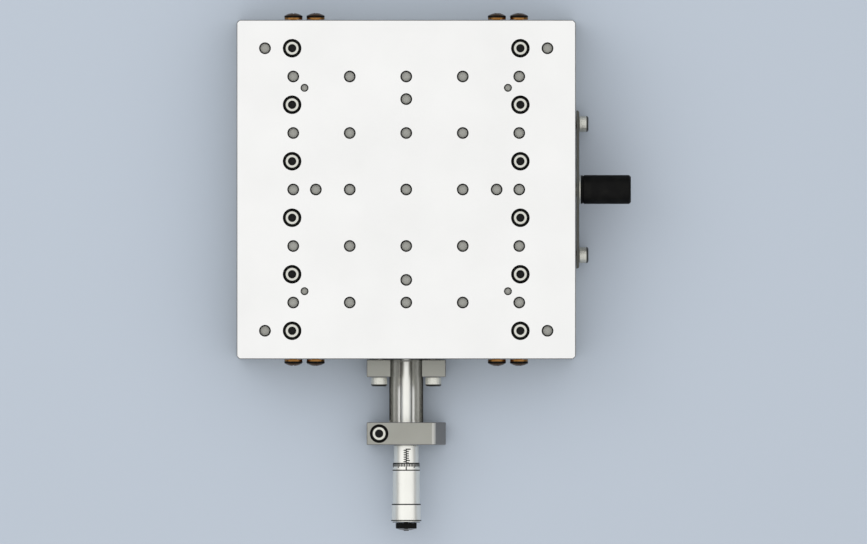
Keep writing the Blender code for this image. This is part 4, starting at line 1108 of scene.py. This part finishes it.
def sleeve_scale(sleeve_start):
    """Datum line, whole millimetres on one side and half millimetres on the other."""
    zero = sleeve_start + 1.6
    short = 1.15
    strokes = [stroke(SLEEVE_RADIUS, 0, zero - SCALE_LINE / 2, zero + SCALE_LENGTH + 0.5)]
    for number in range(SCALE_LENGTH + 1):
        reach = 2.0 if number % 10 == 0 else 1.55 if number % 5 == 0 else short
        strokes.append(cross_stroke(zero + number, 0, reach))
        strokes.append(cross_stroke(zero + number + 0.5, -short, 0))
    return joined(strokes)


def cross_stroke(place, left, right):
    """A thin stroke across the axis on the sleeve, between two distances from its top line."""
    lift = 0.02
    low = SLEEVE_RADIUS - lift
    high = SLEEVE_RADIUS + lift
    start = place - SCALE_LINE / 2
    end = place + SCALE_LINE / 2
    bm = bmesh.new()
    verts = [bm.verts.new((0, r, z)) for r, z in ((low, start), (high, start), (high, end), (low, end))]
    edges = [bm.edges.new((verts[i], verts[(i + 1) % 4])) for i in range(4)]
    placed(bm, spun(-left / SLEEVE_RADIUS, "Z"))
    bmesh.ops.spin(
        bm, geom=verts + edges, cent=(0, 0, 0), axis=(0, 0, -1), angle=(right - left) / SLEEVE_RADIUS, steps=6
    )
    open_edges = [edge for edge in bm.edges if edge.is_boundary]
    bmesh.ops.holes_fill(bm, edges=open_edges, sides=4)
    return tidy(bm)


def spindle():
    start, end = along("spindle")
    floor = along("thimble")[1] - THIMBLE_END_WALL
    shoulder = floor - 0.1
    radius = 2.65
    groove = 2.4
    groove_start = start + 1.4
    groove_end = start + 1.75
    step = 51.8
    tail = 3.15
    core = 2.0
    bore = 1.0
    body = turned([
        (radius - 0.2, start), (radius, start + 0.2), (radius, groove_start), (groove, groove_start),
        (groove, groove_end), (radius, groove_end), (radius, step), (tail, step), (tail, shoulder),
        (core, shoulder), (core, end), (bore, end), (bore, floor),
    ], FINE_ROUND)
    finish("spindle_rod", placed(body, MICROMETER), [CHROME], "spindle", "spindle")


def thimble():
    """The thimble's sleeve, grip and collar, with rings of painted shade that part them."""
    start, end = along("thimble")
    wide = THIMBLE_RADIUS
    grip_radius = 6.4
    collar_radius = 6.7
    bore = 2.15
    band = start + THIMBLE_BAND
    band_end = band + 0.12
    grip = band + 14.9
    grip_ring = grip + 0.5
    collar = grip + 7.1
    collar_end = collar + 0.45
    tail_ring = end - 0.35
    floor = end - THIMBLE_END_WALL
    body = turned([
        (5.66, start + 0.1), (5.75, start), (THIMBLE_EDGE_RADIUS, start), (wide, band), (5.93, band + 0.03),
        (5.93, band_end), (wide, band_end + 0.03), (wide, grip), (grip_radius - 0.1, grip),
        (grip_radius, grip + 0.1),
        (grip_radius, grip_ring), (grip_radius, collar - 0.02), (collar_radius, collar),
        (collar_radius, collar_end), (6.15, collar_end + 0.02), (6.08, tail_ring), (5.98, tail_ring + 0.02),
        (5.95, end), (bore, end), (bore, floor), (5.65, floor),
    ], FINE_ROUND, closed=True)
    # Painted shade: black rings at the grip's start, on the collar and at the tail.
    for low, high in ((grip - 0.01, grip_ring), (collar, collar_end), (tail_ring, end)):
        marked(body, 1, between(low, high, 5.9))
    finish("thimble_shell", placed(body, MICROMETER), [CHROME, INK_AND_SHADE], "thimble", "thimble")
    marks = thimble_scale(start, band)
    finish("thimble_scale", placed(marks, MICROMETER), [INK_AND_SHADE], "thimble")


def thimble_scale(start, band):
    """The divisions, longer at every fifth, and rings of painted shade at both ends of the graduated band."""
    slope = (THIMBLE_RADIUS - THIMBLE_EDGE_RADIUS) / THIMBLE_BAND
    first = start + 0.1
    marks = [ring_line(THIMBLE_EDGE_RADIUS + 0.01, start + 0.02, start + 0.6),
             ring_line(THIMBLE_RADIUS, band - 0.25, band + 0.25)]
    for division in range(DIVISIONS):
        angle = -tau * division / DIVISIONS
        length = 2.15 if division % 5 == 0 else 1.6
        if division == 0:
            length = THIMBLE_BAND - 0.1
        middle = THIMBLE_EDGE_RADIUS + slope * (0.1 + length / 2)
        marks.append(stroke(middle, angle, first, first + length, -slope))
    return joined(marks)


def ratchet():
    """The ratchet stop's black cap, and the domed screw that holds it on the spindle."""
    start, end = along("ratchet_stop")
    end += 0.15
    rim = 4.6
    bore = 1.1
    chamfer = 0.2
    flutes = 40
    flute_depth = 0.14
    body = turned([
        (bore, start), (rim - chamfer, start), (rim, start + chamfer), (rim, end - chamfer),
        (rim - chamfer, end), (bore, end),
    ], 2 * flutes, closed=True)
    fluted(body, rim, flutes, flute_depth)
    finish("ratchet_cap", placed(body, MICROMETER), [BLACK], "ratchet", "ratchet_stop")
    start, top = along("ratchet_screw")
    seat = end + SCREW_LIFT
    shank = 0.9
    nub = 1.15
    dome = [(radius, seat + rise) for radius, rise in (
        (3.8, 0), (3.75, 0.08), (3.3, 0.25), (2.6, 0.42), (1.8, 0.53), (nub, 0.56)
    )]
    screw = turned([
        (shank, start), (shank, seat), *dome, (nub, top - 0.06), (nub - 0.06, top)
    ], SMALL_ROUND)
    # The dome gets the darker grey of painted shade, the tip black.
    marked(screw, 1, between(dome[-1][1], top + OVERCUT))
    finish("ratchet_retainer", placed(screw, MICROMETER), [SHADE_GREY, BLACK],
           "spindle", "ratchet_screw")


def lock_plate():
    """The slotted plate beside the table, fixed to the base."""
    low, high = extent("lock_plate")
    thick = high.x - low.x
    plate = block(low, high)
    upright = []
    for edge in plate.edges:
        first, last = [vert.co for vert in edge.verts]
        if min(first.x, last.x) > high.x - SAME_PLACE and abs(first.y - last.y) < SAME_PLACE:
            upright.append(edge)
    bevelled(plate, upright, thick * 0.9, 6)
    slot_radius = 3.3
    slot_half = 6.8
    ends = arc(slot_radius, 0, pi, ROUGH_ROUND)
    outline = [(x, y + slot_half) for x, y in ends] + [(-x, -y - slot_half) for x, y in ends]
    slot = prism(outline, thick + 2 * OVERCUT)
    cutters = [placed(slot, shift(low.x - OVERCUT, 0, LOCK_Z) @ ALONG_X)]
    for end in (-1, 1):
        hole = rod(CLEARANCE_RADIUS, -OVERCUT, thick + 2 * OVERCUT)
        place = shift(low.x, end * LOCK_SCREW_Y, BASE_FLANGE / 2) @ ALONG_X
        cutters.append(placed(hole, place))
    # Its chamfers and the sides of its slot and screw holes are painted black as shade.
    broken_edges(plate, 0.35, 1)
    body = combined(plate, [marked(joined(cutters), 1)])
    finish("slotted_plate", body, [OLIVE, BLACK], "base", "lock_plate")


def from_side(node):
    """Where a node starts and ends along the lock's axis, from the table's side."""
    low, high = extent(node)
    return low.x - SIDE, high.x - SIDE


def side_lock():
    """The lock on the table's right side: plate, washer, stud and knob."""
    lock_plate()
    start, end = from_side("lock_washer")
    rim = 6.3
    washer = turned([
        (LOCK_HOLE_RADIUS, start), (rim - 0.1, start), (rim, start + 0.1), (rim, end - 0.1),
        (rim - 0.1, end), (LOCK_HOLE_RADIUS, end),
    ], ROUND, closed=True)
    finish("lock_collar", placed(washer, LOCK), [STAINLESS], "lock_washer", "lock_washer")
    start, end = from_side("lock_stud")
    radius = 3.0
    chamfer = 0.4
    stud = turned([
        (radius - chamfer, start), (radius, start + chamfer), (radius, end - chamfer), (radius - chamfer, end)
    ], SMALL_ROUND)
    finish("clamping_stud", placed(stud, LOCK), [STAINLESS], "table", "lock_stud")
    knob(*from_side("lock_knob"))


def knob(start, end):
    """The black knob: a turned-down neck, a diamond knurl and a recessed end."""
    rim = 6.4
    bore_end = 16.5
    flutes = 48
    rows = 18
    flute_depth = 0.22
    first = start + 1.4
    pitch = (end - 0.8 - first) / rows
    knurl = [(rim, first + pitch * row) for row in range(rows + 1)]
    body = turned([
        (LOCK_HOLE_RADIUS, bore_end), (LOCK_HOLE_RADIUS, start), (rim - 0.4, start),
        (rim - 0.02, start + 0.4), (rim - 0.02, start + 0.7), (rim - 0.4, start + 0.9),
        (rim - 0.4, start + 1.15), *knurl,
        (rim - 0.8, end), (rim - 2.2, end), (rim - 2.4, end - 0.35),
    ], 2 * flutes)
    fluted(body, rim, flutes, flute_depth, lambda height: round((height - first) / pitch))
    finish("knurled_knob", placed(body, LOCK), [BLACK], "lock_knob", "lock_knob")


def floor():
    bm = bmesh.new()
    bmesh.ops.create_grid(bm, x_segments=1, y_segments=1, size=3.0)
    at(bm, 0, 0, -0.0002)
    paint = Paint("pale_floor", 0.9, 0.0)
    paint.colour((0.50, 0.56, 0.64, 1.0))
    added("floor", mesh_from("floor", bm, [paint.material]))


def soft_lamp(name, place, across, radiance):
    """A round softbox that faces the stage. Its radiance is what a mirror would show of it."""
    lamp = bpy.data.lights.new(name, "AREA")
    lamp.shape = "DISK"
    lamp.size = across
    lamp.energy = radiance * pi * pi * (across / 2) ** 2
    made = added(name, lamp)
    made.location = place
    made.rotation_euler = Vector(place).to_track_quat("Z", "Y").to_euler()
    made.visible_camera = False


def light():
    world = bpy.data.worlds.new("soft_room")
    world.use_nodes = True
    background = world.node_tree.nodes["Background"].inputs
    background["Color"].default_value = (1, 1, 1, 1)
    background["Strength"].default_value = 0.3
    bpy.context.scene.world = world
    soft_lamp("overhead", (0, 0, 1.1), 5.6, 0.76)
    soft_lamp("side", (-0.9, 0.6, 1.0), 1.0, 0.7)


def camera():
    """Straight down on the table, without perspective, as the photograph shows it."""
    photo_width = 0.3836
    photo_centre = (0.01206, -0.0365)
    lens = bpy.data.cameras.new("camera")
    lens.type = "ORTHO"
    lens.ortho_scale = photo_width
    made = added("camera", lens)
    made.location = (*photo_centre, 0.6)
    bpy.context.scene.camera = made


bpy.context.scene.view_settings.view_transform = "Standard"
camera()
floor()
light()
table_plate()
base_body()
guideways()
cap_screws()
end_screws()
set_screws()
springs()
contact()
bracket()
micrometer_head()
spindle()
thimble()
ratchet()
side_lock()
